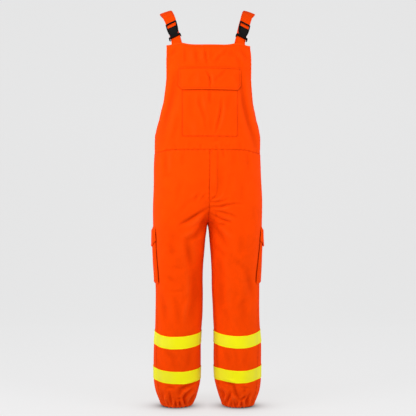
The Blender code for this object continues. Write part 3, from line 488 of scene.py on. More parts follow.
class OverallsStage(bpy.types.PropertyGroup):
    """Floor, light and camera."""

    floor_colour: FloatVectorProperty(name="Floor colour", description="Colour of floor and wall",
                                      subtype="COLOR", size=3, min=0, max=1,
                                      default=(0.150, 0.151, 0.154))
    glow: FloatProperty(name="Backdrop glow", description="How much the backdrop is lit through",
                        default=0.677, min=0)
    sky: FloatProperty(name="Room light", description="Strength of the light from all round",
                       default=0.53, min=0)
    key: FloatProperty(name="Key light", description="Power of the light at the front left",
                       subtype="POWER", unit="POWER", default=1.4, min=0)
    panels: FloatProperty(name="Side panels", description="Power of the soft lights at both sides",
                          subtype="POWER", unit="POWER", default=18.0, min=0)
    distance: FloatProperty(name="Camera distance", description="From the camera to the garment",
                            subtype="DISTANCE", unit="LENGTH", default=2.95, min=1)
    lens: FloatProperty(name="Lens", description="Focal length", subtype="DISTANCE_CAMERA",
                        default=69.9, min=10)


def settings():
    """The scene, which holds the garment's groups of settings."""
    return bpy.context.scene


# ---------------------------------------------------------------- reading the tables
def read(rows, column, places, key="height"):
    """Values of a table's column at some places, on a smooth curve that never overshoots."""
    order = np.argsort(rows[key])
    x = rows[key][order]
    y = rows[column][order]
    step = np.diff(y) / np.diff(x)
    product = step[:-1] * step[1:]
    total = step[:-1] + step[1:]
    safe = np.where(product > 0, total, 1.0)
    slope = np.concatenate(([step[0]], np.where(product > 0, 2 * product / safe, 0), [step[-1]]))
    place = np.clip(places, x[0], x[-1])
    k = np.clip(np.searchsorted(x, place, side="right") - 1, 0, len(x) - 2)
    span = x[k + 1] - x[k]
    t = (place - x[k]) / span
    return (y[k] * (1 + 2 * t) * (1 - t) ** 2 + y[k + 1] * t * t * (3 - 2 * t)
            + slope[k] * span * t * (1 - t) ** 2 - slope[k + 1] * span * t * t * (1 - t))


def smooth(values):
    """0 below 0, 1 above 1 and an even ease between."""
    t = np.clip(values, 0, 1)
    return t * t * (3 - 2 * t)


def turned(points, heights):
    """Points after the garment's slight turn at their heights."""
    angle = np.radians(read(STANCE, "turn", heights))
    x = points[..., 0] * np.cos(angle) - points[..., 1] * np.sin(angle)
    y = points[..., 0] * np.sin(angle) + points[..., 1] * np.cos(angle)
    return np.stack([x, y, points[..., 2]], -1)


def graded(start, stop, step, marks=(), fine=0.0010):
    """Places from start to stop, a step apart, and closer round each mark."""
    reach = 0.0055
    low, high = min(start, stop), max(start, stop)
    places = [low]
    while places[-1] < high:
        near = min([abs(places[-1] - mark) for mark in marks] + [1.0])
        ease = smooth(np.array((near - reach) / (3 * reach)))
        places.append(places[-1] + fine + (step - fine) * float(ease))
    places = np.array(places)
    places = low + (places - low) * (high - low) / (places[-1] - low)
    return places if start < stop else places[::-1]


# ---------------------------------------------------------------- the garment's outer form
class Shell:
    """A stretch of the garment as a fine grid of outer points with outward directions.

    A row has one height. Its columns lie evenly along the cloth on each side of a zero line, the
    front's middle or the side seam, and metres count along the cloth from there.
    """

    def __init__(self, heights, points, normals, before, after, front, back, grain):
        self.heights = heights
        self.before = before
        self.after = after
        self.front = front
        self.back = back
        self.grain = grain
        steps = np.linalg.norm(np.diff(points, axis=1), axis=2)
        self.reach_before = steps[:, :before].sum(1)
        self.reach_after = steps[:, before:].sum(1)
        self.normals = normals
        self.points = points

    def relief(self, points):
        """How far the creases move points outwards, those of the front and of the back."""
        blend = smooth((points[..., 1] + 0.012) / 0.024)
        move = pressed(points, self.front) * (1 - blend) if self.front else 0 * blend
        if self.back:
            move = move + pressed(points, self.back) * blend
        return move * settings().overalls_cloth.creasing

    def row(self, heights):
        """Row numbers, with fractions, of some heights."""
        return np.interp(-np.asarray(heights), -self.heights, np.arange(len(self.heights)))

    def reach(self, heights):
        """How far the cloth runs before and after the zero line at some heights."""
        rows = self.row(heights)
        index = np.arange(len(self.heights))
        return np.interp(rows, index, self.reach_before), np.interp(rows, index, self.reach_after)

    def column(self, heights, metres):
        """Column numbers, with fractions, of places along the cloth."""
        before, after = self.reach(heights)
        return np.where(metres < 0, self.before * (1 + metres / before),
                        self.before + self.after * metres / after)

    def sample(self, grid, heights, metres):
        """Values of a grid between its rows and columns."""
        rows = self.row(heights)
        columns = self.column(heights, metres)
        rows, columns = np.broadcast_arrays(rows, columns)
        r = np.clip(rows.astype(int), 0, grid.shape[0] - 2)
        c = np.clip(columns.astype(int), 0, grid.shape[1] - 2)
        v = np.clip(rows - r, 0, 1)
        u = np.clip(columns - c, 0, 1)
        if grid.ndim == 3:
            v, u = v[..., None], u[..., None]
        return (grid[r, c] * (1 - v) * (1 - u) + grid[r, c + 1] * (1 - v) * u
                + grid[r + 1, c] * v * (1 - u) + grid[r + 1, c + 1] * v * u)

    def laid(self, heights, metres):
        """Points of the creased cloth, outward directions and depths of the creases there."""
        out = self.out(heights, metres)
        form = self.sample(self.points, heights, metres)
        relief = self.relief(form)
        move = relief + ripple(form[..., 0], form[..., 2], self.grain)
        points = form + out * move[..., None]
        points[..., 2] += waist_droop(form)
        return points, out, relief

    def place(self, heights, metres, lift=0.0):
        """Points of the creased cloth, moved out by the lift."""
        points, out, _ = self.laid(heights, metres)
        return points + out * np.asarray(lift)[..., None]

    def out(self, heights, metres):
        """Outward directions of the cloth."""
        out = self.sample(self.normals, heights, metres)
        return out / np.linalg.norm(out, axis=-1, keepdims=True)


def waist_droop(points):
    """Heights that bow the waist seam: a little up in the middle and down at the sides."""
    near = np.exp(-((points[..., 2] - WAIST) / 0.05) ** 2)
    return near * (0.0025 - 0.0095 * smooth((np.abs(points[..., 0]) - 0.125) / 0.065))


def pressed(points, creases):
    """How far creases move points outwards: troughs with soft shoulders, tapering at both ends."""
    x = points[..., 0]
    z = points[..., 2]
    move = np.zeros(x.shape)
    for half_width, depth, *places in creases:
        line = np.array(places) / 1000
        width = half_width / 1000
        steps = np.diff(line, axis=0)
        lengths = np.hypot(steps[:, 0], steps[:, 1])
        starts = np.concatenate(([0], np.cumsum(lengths)))
        margin = 4 * width
        near = ((x > line[:, 0].min() - margin) & (x < line[:, 0].max() + margin)
                & (z > line[:, 1].min() - margin) & (z < line[:, 1].max() + margin))
        if not near.any():
            continue
        px = x[near]
        pz = z[near]
        best = np.full(px.shape, 9.0)
        along = np.zeros(px.shape)
        for k, step in enumerate(steps):
            t = np.clip(((px - line[k, 0]) * step[0] + (pz - line[k, 1]) * step[1])
                        / lengths[k] ** 2, 0, 1)
            away = np.hypot(px - line[k, 0] - step[0] * t, pz - line[k, 1] - step[1] * t)
            closer = away < best
            best[closer] = away[closer]
            along[closer] = (starts[k] + t[closer] * lengths[k]) / starts[-1]
        taper = np.sin(np.pi * (0.06 + 0.88 * along)) ** 0.8
        away = best / width
        shoulder = 0.30 * np.exp(-((away - 2.0) / 0.9) ** 2)
        move[near] -= depth / 1000 * taper * (np.exp(-away ** 2) - shoulder)
    return move


def surface_normals(points):
    """Directions square to a grid of points: its way down crossed with its way along."""
    normals = np.cross(np.gradient(points, axis=0), np.gradient(points, axis=1))
    return normals / np.maximum(np.linalg.norm(normals, axis=2, keepdims=True), 1e-12)


# ---------------------------------------------------------------- torso
TORSO_POINTS = 160          # that half a panel's line is worked out from at each height


def torso_line(height, rows, facing, shares):
    """Points of one row of the torso at even shares, -1 to 1, of the cloth from its middle."""
    edge = read(rows, "edge_half_width", height)
    depth = read(rows, "depth", height)
    across = read(rows, "edge_depth", height) * facing
    power = TORSO_SQUARENESS
    width = edge / (1 - (across / depth) ** power) ** (1 / power) if across > 0 else edge
    stop = math.atan2(max(across, 0.0) / depth, edge / width)
    angle = np.linspace(math.pi / 2, stop, TORSO_POINTS)
    share = (np.abs(np.cos(angle)) ** power + np.abs(np.sin(angle)) ** power) ** (-1 / power)
    x = width * np.cos(angle) * share
    y = depth * np.sin(angle) * share
    if across < 0:
        x = np.append(x, edge)
        y = np.append(y, across)
    run = np.concatenate(([0], np.cumsum(np.hypot(np.diff(x), np.diff(y)))))
    target = np.abs(shares) * run[-1]
    return np.stack([np.interp(target, run, x) * np.sign(shares),
                     np.interp(target, run, y) * facing,
                     np.full(len(shares), height)], 1)


def bib_edge_lift(x):
    """How far the top edge rises above its middle, most of all at the straps."""
    at_strap = np.exp(-((np.abs(x) - 0.108) / 0.030) ** 2)
    at_corner = np.clip((np.abs(x) - 0.118) / 0.030, 0, 1)
    return BIB_EDGE_RISE * at_strap * (1 - at_corner) + BIB_CORNER_RISE * at_corner


def ripple(x, z, grain):
    """The cloth's own gentle unevenness, the same each time."""
    a = np.sin(x * 61 + 2.1 * np.sin(z * 17 + grain) + grain)
    b = np.sin(x * 34 - z * 23 + 1.7 * grain)
    c = np.sin(x * 118 + z * 31 + 1.3 * np.sin(x * 40 + grain))
    return 0.00065 * a + 0.00060 * b + 0.00016 * c


@functools.cache
def torso(facing):
    """The bib, facing -1, or the back panel, facing 1."""
    rows, top, creases = ((BIB, BIB_TOP, FRONT_CREASES) if facing < 0
                          else (BACK, BACK_TOP, BACK_CREASES))
    heights = graded(top, WAIST, 0.0028)
    columns = 72
    shares = np.linspace(-1, 1, 2 * columns + 1)
    points = np.array([torso_line(height, rows, facing, shares) for height in heights])
    if facing < 0:
        fade = np.clip(1 - (top - heights) / 0.045, 0, 1)[:, None]
        points[..., 2] += bib_edge_lift(points[..., 0]) * fade
    points = turned(points, points[..., 2])
    normals = surface_normals(points) * -facing
    front, back = (creases, ()) if facing < 0 else ((), creases)
    shell = Shell(heights, points, normals, columns, columns, front, back, 0.7 - facing)
    # the bib's own edges run back past the middle, where its creases still belong to the front
    shell.relief = lambda places: pressed(places, creases) * settings().overalls_cloth.creasing
    return shell


# ---------------------------------------------------------------- legs
def leg_section(height):
    """Centre, half width, front and back depth and squareness of one leg at a height."""
    outer = float(read(LEGS, "outer_half_width", height))
    inner = float(read(LEGS, "inner_half_width", height))
    parting = min(1.0, max(0.0, (CROTCH + RISE - height) / RISE)) ** 1.2
    if height > CROTCH:
        centre, half = outer * parting / (1 + parting), outer / (1 + parting)
    else:
        centre, half = (outer + inner) / 2, (outer - inner) / 2
    return (centre, half, float(read(LEGS, "front_depth", height)),
            float(read(LEGS, "back_depth", height)), float(read(LEGS, "squareness", height)))


def leg_line(section, angles, height, droop):
    """Points of the +X leg at angles from its outermost point, positive towards the front."""
    centre, half, front, back, squareness = section
    power = 2 / squareness
    across = np.sign(np.cos(angles)) * np.abs(np.cos(angles)) ** power
    along = np.sign(np.sin(angles)) * np.abs(np.sin(angles)) ** power
    depth = np.where(along > 0, front, back)
    return np.stack([np.maximum(0, centre + half * across), -depth * along,
                     height - droop * along], 1)


def seam_angles(height, side):
    """Angles of the front's start, the side seam and the back's end at a height."""
    centre, half, _, _, squareness = leg_section(height)
    side_turn = math.radians(float(read(SEAMS, "side_turn", height)))
    if height > CROTCH:
        start = math.acos(-(centre / half) ** (squareness / 2))
        return start, side_turn, -start
    column = "inseam_turn_right" if side > 0 else "inseam_turn_left"
    inseam = math.pi - math.radians(float(read(SEAMS, column, height)))
    return inseam, side_turn, inseam - 2 * math.pi


def even_points(line, count):
    """Count + 1 points at even distances along a line of points."""
    run = np.concatenate(([0], np.cumsum(np.linalg.norm(np.diff(line, axis=0), axis=1))))
    target = np.linspace(0, run[-1], count + 1)
    return np.stack([np.interp(target, run, line[:, k]) for k in range(3)], 1)


def gather_wave(share, gathers, side):
    """Height of the hem gathers, between -1 and 1, uneven in spacing and depth."""
    swing = share + 0.018 * np.sin(2 * np.pi * share * 2 + side)
    size = 0.78 + 0.22 * np.sin(2 * np.pi * share * 3.0 + 2.0 * side)
    return -np.cos(2 * np.pi * gathers * swing) * size


def fold_depth(points, side):
    """How deep the large folds lie at points of the trouser fronts."""
    depth = np.zeros(points.shape[:2])
    for k, fold_side in enumerate(FOLDS["side"]):
        if fold_side != side:
            continue
        start = np.array([FOLDS["x_start"][k], FOLDS["z_start"][k]])
        reach = np.array([FOLDS["x_end"][k], FOLDS["z_end"][k]]) - start
        here = points[..., (0, 2)] - start
        along = np.clip(here @ reach / (reach @ reach), 0, 1)
        away = np.linalg.norm(here - along[..., None] * reach, axis=-1) / FOLDS["half_width"][k]
        depth += FOLDS["depth"][k] * np.sin(np.pi * (0.12 + 0.8 * along)) * np.exp(-away ** 2)
    return depth * (points[..., 1] < 0)


LEG_POINTS = 240            # that a panel's line is worked out from at each height
LEG_FRONT_COLUMNS = 84
LEG_BACK_COLUMNS = 104
# rows that close up where the two legs part
NEAR_CROTCH = [CROTCH + step / 1000 for step in (10.5, 8, 6, 4.4, 3, 1.8, 0.9, 0.3)]


@functools.cache
def leg(side):
    """One trouser leg, from the front's start round the side seam to the back's end."""
    heights = np.concatenate((graded(WAIST, CROTCH + 0.013, 0.0032), NEAR_CROTCH,
                              graded(CROTCH, HEM, 0.0032)))
    grid = []
    for height in heights:
        section = leg_section(height)
        droop = float(read(SEAMS, "front_droop", height))
        start, seam, end = seam_angles(height, side)
        front, back = [
            even_points(leg_line(section, np.linspace(*turn, LEG_POINTS), height, droop), count)
            for turn, count in (((start, seam), LEG_FRONT_COLUMNS),
                                ((seam, end), LEG_BACK_COLUMNS))]
        grid.append(np.concatenate((front, back[1:])))
    points = np.array(grid)
    normals = leg_normals(points, heights)
    share = np.concatenate((np.linspace(0, 1, LEG_FRONT_COLUMNS + 1),
                            np.linspace(0, 1, LEG_BACK_COLUMNS + 1)[1:]))
    in_front = np.arange(points.shape[1]) <= LEG_FRONT_COLUMNS
    wave = np.where(in_front, gather_wave(share, FRONT_GATHERS, side),
                    gather_wave(share, BACK_GATHERS, side))
    points[..., 0] *= side
    normals[..., 0] *= side
    # the hem's elastic draws the cloth into waves, scallops its edge and turns it in
    gather_start = CUFF_START + 0.006
    drawn = np.clip((gather_start - heights) / (gather_start - HEM), 0, 1) ** 1.3
    move = 0.7 * GATHER_DEPTH * wave * drawn[:, None] - fold_depth(points, side)
    points = points + normals * move[..., None]
    near_hem = smooth((HEM + 0.013 - heights) / 0.013)[:, None]
    points[..., 2] -= 0.35 * HEM_SCALLOP * wave * near_hem
    turn_in = 0.0045 * smooth((HEM + 0.009 - heights) / 0.009) ** 2
    points = points - normals * turn_in[:, None, None]
    levels = np.broadcast_to(heights[:, None], points.shape[:2])
    return Shell(heights, turned(points, levels), turned(normals, levels), LEG_FRONT_COLUMNS,
                 LEG_BACK_COLUMNS, FRONT_CREASES, BACK_CREASES, 1.9 * side)


def leg_normals(points, heights):
    """Outward directions over the whole leg, worked out across the seams."""
    closed = heights <= CROTCH
    before = np.roll(points, 1, axis=1)
    after = np.roll(points, -1, axis=1)
    mirror = np.array([-1, 1, 1])
    before[closed, 0] = points[closed, -2]
    after[closed, -1] = points[closed, 1]
    before[~closed, 0] = points[~closed, 1] * mirror
    after[~closed, -1] = points[~closed, -2] * mirror
    down = np.gradient(points, axis=0)
    normals = np.cross(after - before, down)
    normals /= np.maximum(np.linalg.norm(normals, axis=2, keepdims=True), 1e-12)
    sample = normals[len(heights) // 4, LEG_FRONT_COLUMNS // 2]
    return normals if sample[1] < 0 else -normals


# ---------------------------------------------------------------- meshes of cloth
def cloth_wall(name, outer, inner, cut, shade, material):
    """A closed wall between two grids of points, with a rounded rim."""
    rows, columns = outer.shape[:2]
    index = np.arange(rows * columns).reshape(rows, columns)
    border, inside = [np.concatenate((index[:-1, near], index[-1 - near, :-1],
                                      index[:0:-1, -1 - near], index[near, :0:-1]))
                      for near in (0, 1)]
    flat_outer, flat_inner = outer.reshape(-1, 3), inner.reshape(-1, 3)
    push = flat_outer[border] - flat_outer[inside]
    push /= np.maximum(np.linalg.norm(push, axis=1, keepdims=True), 1e-9)
    gap = np.linalg.norm(flat_outer[border] - flat_inner[border], axis=1, keepdims=True)
    rim = (flat_outer[border] + flat_inner[border]) / 2 + push * gap * 0.38
    points = np.concatenate((flat_outer, rim, flat_inner))
    first_rim = rows * columns
    first_inner = first_rim + len(border)
    a, b = index[:-1, :-1].ravel(), index[1:, :-1].ravel()
    c, d = index[1:, 1:].ravel(), index[:-1, 1:].ravel()
    after = np.roll(border, -1)
    ring = np.arange(len(border)) + first_rim
    ring_after = np.roll(ring, -1)
    faces = np.concatenate([np.stack(corners, 1) for corners in (
        (a, b, c, d), (a + first_inner, d + first_inner, c + first_inner, b + first_inner),
        (after, border, ring, ring_after),
        (ring_after, ring, border + first_inner, after + first_inner))])
    wide = np.cross(outer[1:, :-1] - outer[:-1, :-1], outer[:-1, 1:] - outer[:-1, :-1])
    if (wide * (outer - inner)[:-1, :-1]).sum() < 0:
        faces = faces[:, ::-1]
    cuts, shades = [np.concatenate((values, values[border], values))
                    for values in (cut.reshape(-1, 2), shade.ravel())]
    return cloth_object(name, points, faces, cuts, shades, material)


def cloth_object(name, points, faces, cuts, shades, material):
    """A mesh object with the places on the flat cloth as its map and a shade at each point."""
    mesh = bpy.data.meshes.new(name)
    mesh.from_pydata(points.tolist(), [], faces.tolist())
    layer = mesh.uv_layers.new(name="cut")
    corners = np.empty(len(mesh.loops), int)
    mesh.loops.foreach_get("vertex_index", corners)
    layer.data.foreach_set("uv", cuts[corners].astype(np.float32).ravel())
    shading = mesh.attributes.new("shade", "FLOAT", "POINT")
    shading.data.foreach_set("value", shades.astype(np.float32))
    mesh.shade_smooth()
    mesh.set_sharp_from_angle(angle=math.radians(48.0))
    return garment_piece(name, mesh, material)


def garment_piece(name, mesh, material):
    """An object of the garment, in its own collection."""
    mesh.materials.append(material)
    piece = bpy.data.objects.new(name, mesh)
    found = bpy.data.collections.get("overalls_dressed")
    if found is None:
        found = bpy.data.collections.new("overalls_dressed")
        bpy.context.scene.collection.children.link(found)
    found.objects.link(piece)
    return piece


DEEPEST_FURROW = 0.0009     # that leaves the inner side of a wall as it is


def layer_on(shell, name, heights, metres, lift, thickness, material, extra):
    """A piece of cloth that follows a shell, its inner side lifted off the shell.

    The inner side gives way only where a furrow on the outer side would leave too thin a wall.
    """
    lift = np.broadcast_to(np.asarray(lift, float), heights.shape)
    extra = np.broadcast_to(np.asarray(extra, float), heights.shape)
    laid, out, relief = shell.laid(heights, metres)
    outer = laid + out * (lift + thickness + extra)[..., None]
    inner = laid + out * (lift + np.minimum(extra + DEEPEST_FURROW, 0))[..., None]
    # painted shade and highlight: crease troughs and the furrows of seams, stitches and overlapping
    # pieces give the colour a painted shade, crease ridges a painted highlight
    shade = np.clip(np.clip(relief / 0.0045, -1, 1) + extra / 0.0010, -2, 1)
    return cloth_wall(name, outer, inner, np.stack((metres, heights), -1), shade, material)


def groove(distance, at, half_width=0.0015, depth=0.0008):
    """The furrow that a row of stitches pulls into the cloth."""
    return -depth * np.exp(-((distance - at) / half_width) ** 2)


def rolled(distance, depth=0.0012, half_width=0.0020):
    """Cloth turns in where it meets a seam or a folded edge."""
    return -depth * np.exp(-(distance / half_width) ** 2)


def doubled(distance, width, height=0.00045):
    """A step where a hem or a felled seam lies double."""
    return height * (1 - smooth((distance - width) / 0.0012))


def pucker(run, distance, pitch=0.017, reach=0.010, height=0.00030, *, grain):
    """Small waves where a seam draws the cloth together."""
    wave = np.sin(2 * np.pi * run / pitch + 1.7 * np.sin(run * 61 + grain) + grain)
    return height * wave * np.exp(-(distance / reach) ** 2)


# ---------------------------------------------------------------- sewing
class Thread:
    """Rows of stitches that are joined into one mesh."""

    # a stitch's points, in shares of half its length along and of its radius across and out
    PROFILE = ((-1.0, 0.0, -0.9), (-0.55, 1.0, 0.0), (-0.55, 0.0, 0.8), (-0.55, -1.0, 0.0),
               (-0.55, 0.0, -0.8), (0.55, 1.0, 0.0), (0.55, 0.0, 0.8), (0.55, -1.0, 0.0),
               (0.55, 0.0, -0.8), (1.0, 0.0, -0.9))

    def __init__(self, name):
        self.name = name
        self.centres = []
        self.along = []
        self.out = []

    def sew(self, shell, path, lift):
        """Stitches along a path of (height, metres) places on a shell, lifted off it."""
        path = np.array(path, float)
        run, places = stitch_places(path, least=2)
        half = 0.45 * settings().overalls_sewing.pitch
        ends = [np.stack([np.interp(places + step, run, path[:, k]) for k in (0, 1)], 1)
                for step in (-half, 0, half)]
        first, middle, last = [shell.place(end[:, 0], end[:, 1], np.full(len(places), lift))
                               for end in ends]
        self.strew(middle, last - first, shell.out(ends[1][:, 0], ends[1][:, 1]))

    def strew(self, centres, along, out):
        """Stitches at centres, with their directions along and away from the cloth."""
        self.centres.append(centres)
        self.along.append(along / np.maximum(np.linalg.norm(along, axis=1, keepdims=True), 1e-9))
        self.out.append(out)

    def made(self, material):
        centres = np.concatenate(self.centres)
        along = np.concatenate(self.along)
        out = np.concatenate(self.out)
        sewing = settings().overalls_sewing
        across = np.cross(along, out)
        across /= np.maximum(np.linalg.norm(across, axis=1, keepdims=True), 1e-9)
        half, radius = sewing.length / 2, sewing.radius
        points = np.stack([centres + along * half * a + across * radius * b + out * radius * c
                           for a, b, c in self.PROFILE], 1)
        faces = []
        for k in range(4):
            n = (k + 1) % 4
            faces += [(0, 1 + n, 1 + k), (1 + k, 1 + n, 5 + n, 5 + k), (9, 5 + k, 5 + n)]
        joined = [tuple(number * len(self.PROFILE) + corner for corner in face)
                  for number in range(len(centres)) for face in faces]
        mesh = bpy.data.meshes.new(self.name)
        mesh.from_pydata(points.reshape(-1, 3).tolist(), [], joined)
        mesh.shade_smooth()
        piece = garment_piece(self.name, mesh, material)
        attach(piece, BODY)


def stitch_places(line, least=0):
    """How far along a line its points lie, and how far the middles of its stitches."""
    run = np.concatenate(([0], np.cumsum(np.linalg.norm(np.diff(line, axis=0), axis=1))))
    count = max(least, int(run[-1] / settings().overalls_sewing.pitch))
    return run, (np.arange(count) + 0.5) * run[-1] / count


# ---------------------------------------------------------------- materials
class Nodes:
    """A material's nodes, added and linked one at a time."""

    def __init__(self, name):
        self.material = bpy.data.materials.new(name)
        self.material.use_nodes = True
        self.tree = self.material.node_tree
        self.shader = self.tree.nodes["Principled BSDF"]

    def feed(self, socket, value):
        """Links a socket to another one, or sets its constant on it."""
        if isinstance(value, bpy.types.NodeSocket):
            self.tree.links.new(value, socket)
        else:
            socket.default_value = value

    def add(self, kind, inputs=None, **options):
        """A node with its options, and its inputs linked or set."""
        node = self.tree.nodes.new(kind)
        for option, value in options.items():
            setattr(node, option, value)
        for name, value in (inputs or {}).items():
            self.feed(node.inputs[name], value)
        return node

    def cut(self):
        """Places on the flat cloth."""
        return self.add("ShaderNodeUVMap", uv_map="cut").outputs[0]

    def place(self):
        """Places on the garment."""
        return self.add("ShaderNodeTexCoord").outputs["Object"]

    def shade(self):
        """Painted shade and light given to each point: under 0 in furrows, over 0 on ridges."""
        return self.add("ShaderNodeAttribute", attribute_name="shade").outputs["Fac"]

    def noise(self, where, scale, detail=2.0, roughness=0.5, distortion=0.0):
        """Cloudy unevenness, 0 to 1."""
        return self.add("ShaderNodeTexNoise", {
            "Vector": where, "Scale": scale, "Detail": detail, "Roughness": roughness,
            "Distortion": distortion}).outputs["Fac"]

    def bands(self, where, scale, direction, inputs):
        """Even bands across a direction, 0 to 1."""
        return self.add("ShaderNodeTexWave", {"Vector": where, "Scale": scale, **inputs},
                        wave_type="BANDS", bands_direction=direction).outputs["Fac"]

    def maths(self, operation, first, second=0.5, third=0.5):
        return self.add("ShaderNodeMath", {0: first, 1: second, 2: third},
                        operation=operation).outputs[0]

    def times(self, first, second):
        return self.maths("MULTIPLY", first, second)

    def blend(self, share, first, second):
        """A share of the way from the first colour to the second."""
        return self.add("ShaderNodeMix", {0: share, 6: first, 7: second},
                        data_type="RGBA").outputs[2]

    def bump(self, height, distance, strength, before=None):
        inputs = {"Height": height, "Distance": distance, "Strength": strength}
        if before is not None:
            inputs["Normal"] = before
        return self.add("ShaderNodeBump", inputs).outputs[0]

    def dress(self, inputs):
        """Gives the shader its inputs; the constant ones are set on their sockets."""
        for name, value in inputs.items():
            self.feed(self.shader.inputs[name], value)
        return self.material


def scaled(colour, factor):
    """A colour made lighter or darker, with its alpha."""
    return (*[min(1.0, channel * factor) for channel in colour], 1.0)


BAND_SCALE = math.pi / 10   # scale of a wave texture, times the distance from band to band


def twill_material(name, colour, pitch):
    """Orange twill: diagonal weave, fibre noise, slow colour changes, painted shade in furrows and
    creases, and ridges painted paler as a highlight.
    """
    nodes = Nodes(name)
    cut, place, shade = nodes.cut(), nodes.place(), nodes.shade()
    slant = nodes.add("ShaderNodeMapping", {"Vector": cut, "Rotation": (0, 0, math.radians(28))})
    weave = nodes.bands(slant.outputs[0], BAND_SCALE / pitch, "X",
                        {"Distortion": 1.2, "Detail": 2.0, "Detail Scale": 1.5})
    fibre = nodes.noise(cut, 1500.0, 3.0, 0.6)
    slub = nodes.add("ShaderNodeMapping", {"Vector": cut, "Scale": (420.0, 36.0, 1.0)})
    streak = nodes.noise(slub.outputs[0], 1.0)
    cloudy = nodes.noise(place, 6.5)
    mottle = nodes.noise(place, 24.0, 3.0, 0.6, 0.6)
    mixed = nodes.maths("MULTIPLY_ADD", mottle, 0.65, nodes.times(cloudy, 0.35))
    base = nodes.blend(mixed, scaled(colour, 1.20), scaled(colour, 0.80))
    base = nodes.blend(nodes.times(streak, 0.10), base, scaled(colour, 0.80))
    base = nodes.blend(nodes.times(weave, 0.12), base, scaled(colour, 0.74))
    red, green, blue = colour
    # painted shade: where the shade is under 0, in creases, furrows and stitch grooves, the colour
    # is darkened towards a deep red
    painted_furrow_shade = nodes.times(nodes.maths("MINIMUM", shade, 0.0), -0.48)
    base = nodes.blend(painted_furrow_shade, base, (red * 0.52, green * 0.36, blue * 0.4, 1.0))
    # painted highlight: where the shade is over 0, on crease ridges, the colour is painted paler,
    # broken up by the fibre noise
    painted_ridge_highlight = nodes.times(nodes.maths("MAXIMUM", shade, 0.0), nodes.times(fibre, 0.50))
    base = nodes.blend(painted_ridge_highlight, base, (min(1.0, red * 1.05), green * 1.9, 0.012, 1.0))
    coarse = nodes.bump(weave, 0.00022, 0.55)
    fine = nodes.bump(fibre, 0.00012, 0.45, coarse)
    return nodes.dress({
        "Base Color": base, "Normal": nodes.bump(streak, 0.00025, 0.30, fine),
        "Roughness": nodes.maths("MULTIPLY_ADD", fibre, 0.12, 0.80),
        "Sheen Weight": 0.06, "Sheen Roughness": 0.55, "Sheen Tint": (1.0, 0.22, 0.02, 1.0),
        "Specular IOR Level": 0.08, "Specular Tint": (1.0, 0.30, 0.03, 1.0)})


def tape_material(name, colour):
    """Yellow tape: close cross ribs, a fine glitter of glass beads, paler towards its edges, and
    painted shade where its shade is under 0.
    """
    nodes = Nodes(name)
    cut, place, shade = nodes.cut(), nodes.place(), nodes.shade()
    ribs = nodes.bands(cut, BAND_SCALE / 0.0009, "Y", {"Distortion": 0.6, "Detail": 1.0})
    beads = nodes.noise(cut, 2400.0)
    base = nodes.blend(nodes.times(nodes.noise(place, 14.0), 0.35), scaled(colour, 1.03),
                       scaled(colour, 0.93))
    base = nodes.blend(nodes.times(ribs, 0.10), base, scaled(colour, 0.80))
    light = nodes.times(nodes.maths("MAXIMUM", shade, 0.0), 0.55)
    base = nodes.blend(light, base, (0.96, 0.98, 0.012, 1.0))
    # painted shade: the tape is painted darker and more olive where its shade is under 0
    painted_tape_shade = nodes.times(nodes.maths("MINIMUM", shade, 0.0), -0.45)
    base = nodes.blend(painted_tape_shade, base, (colour[0] * 0.74, colour[1] * 0.71, 0.06, 1.0))
    return nodes.dress({
        "Base Color": base, "Roughness": nodes.maths("MULTIPLY_ADD", beads, 0.22, 0.48),
        "Normal": nodes.bump(beads, 0.00010, 0.4, nodes.bump(ribs, 0.00018, 0.5)),
        "Specular IOR Level": 0.25, "Specular Tint": (1.0, 0.96, 0.25, 1.0)})


def plastic_material(name, colour, roughness):
    """Black moulded plastic: fine spark texture, rubbed paler at its edges."""
    nodes = Nodes(name)
    place = nodes.place()
    spark = nodes.noise(place, 2600.0, 3.0)
    cloudy = nodes.noise(place, 90.0)
    point = nodes.add("ShaderNodeNewGeometry").outputs["Pointiness"]
    edge = nodes.add("ShaderNodeMapRange", {"Value": point, "From Min": 0.53, "From Max": 0.60})
    rubbed = nodes.times(edge.outputs[0], nodes.times(cloudy, 0.7))
    base = nodes.blend(nodes.times(cloudy, 0.4), scaled(colour, 1.0), scaled(colour, 1.5))
    base = nodes.blend(rubbed, base, (0.014, 0.013, 0.012, 1.0))
    return nodes.dress({
        "Base Color": base, "Normal": nodes.bump(spark, 0.00006, 0.5),
        "Roughness": nodes.maths("MULTIPLY_ADD", spark, 0.16, roughness - 0.08),
        "Specular IOR Level": 0.09})


def thread_material(name, colour):
    """Sewing thread: two plies twisted round each other."""
    nodes = Nodes(name)
    place = nodes.place()
    twist = nodes.bands(place, 520.0, "DIAGONAL", {"Distortion": 0.8})
    base = nodes.blend(nodes.times(twist, 0.3), scaled(colour, 1.0), scaled(colour, 0.72))
    base = nodes.blend(nodes.times(nodes.noise(place, 30.0), 0.3), base, scaled(colour, 1.12))
    return nodes.dress({
        "Base Color": base, "Normal": nodes.bump(twist, 0.00012, 0.6), "Roughness": 0.62,
        "Specular IOR Level": 0.15, "Specular Tint": (1.0, 0.45, 0.15, 1.0)})


@functools.cache
def twill():
    """The garment's cloth."""
    cloth = settings().overalls_cloth
    return twill_material("orange_twill", tuple(cloth.colour), cloth.weave_pitch)


@functools.cache
def tape_cloth():
    """The bands' tape."""
    return tape_material("yellow_tape", tuple(settings().overalls_tape.colour))


@functools.cache
def plastic():
    """The buckles' plastic."""
    buckle = settings().overalls_buckle
    return plastic_material("black_plastic", tuple(buckle.colour), buckle.roughness)


@functools.cache
def thread():
    """The thread that sews the cloth."""
    return thread_material("orange_thread", tuple(settings().overalls_sewing.colour))


# ---------------------------------------------------------------- pieces on the torso
def declare(piece, node):
    """Attaches the cloth to the garment's body and hides the node that it stands for."""
    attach(piece, BODY)
    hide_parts(node)


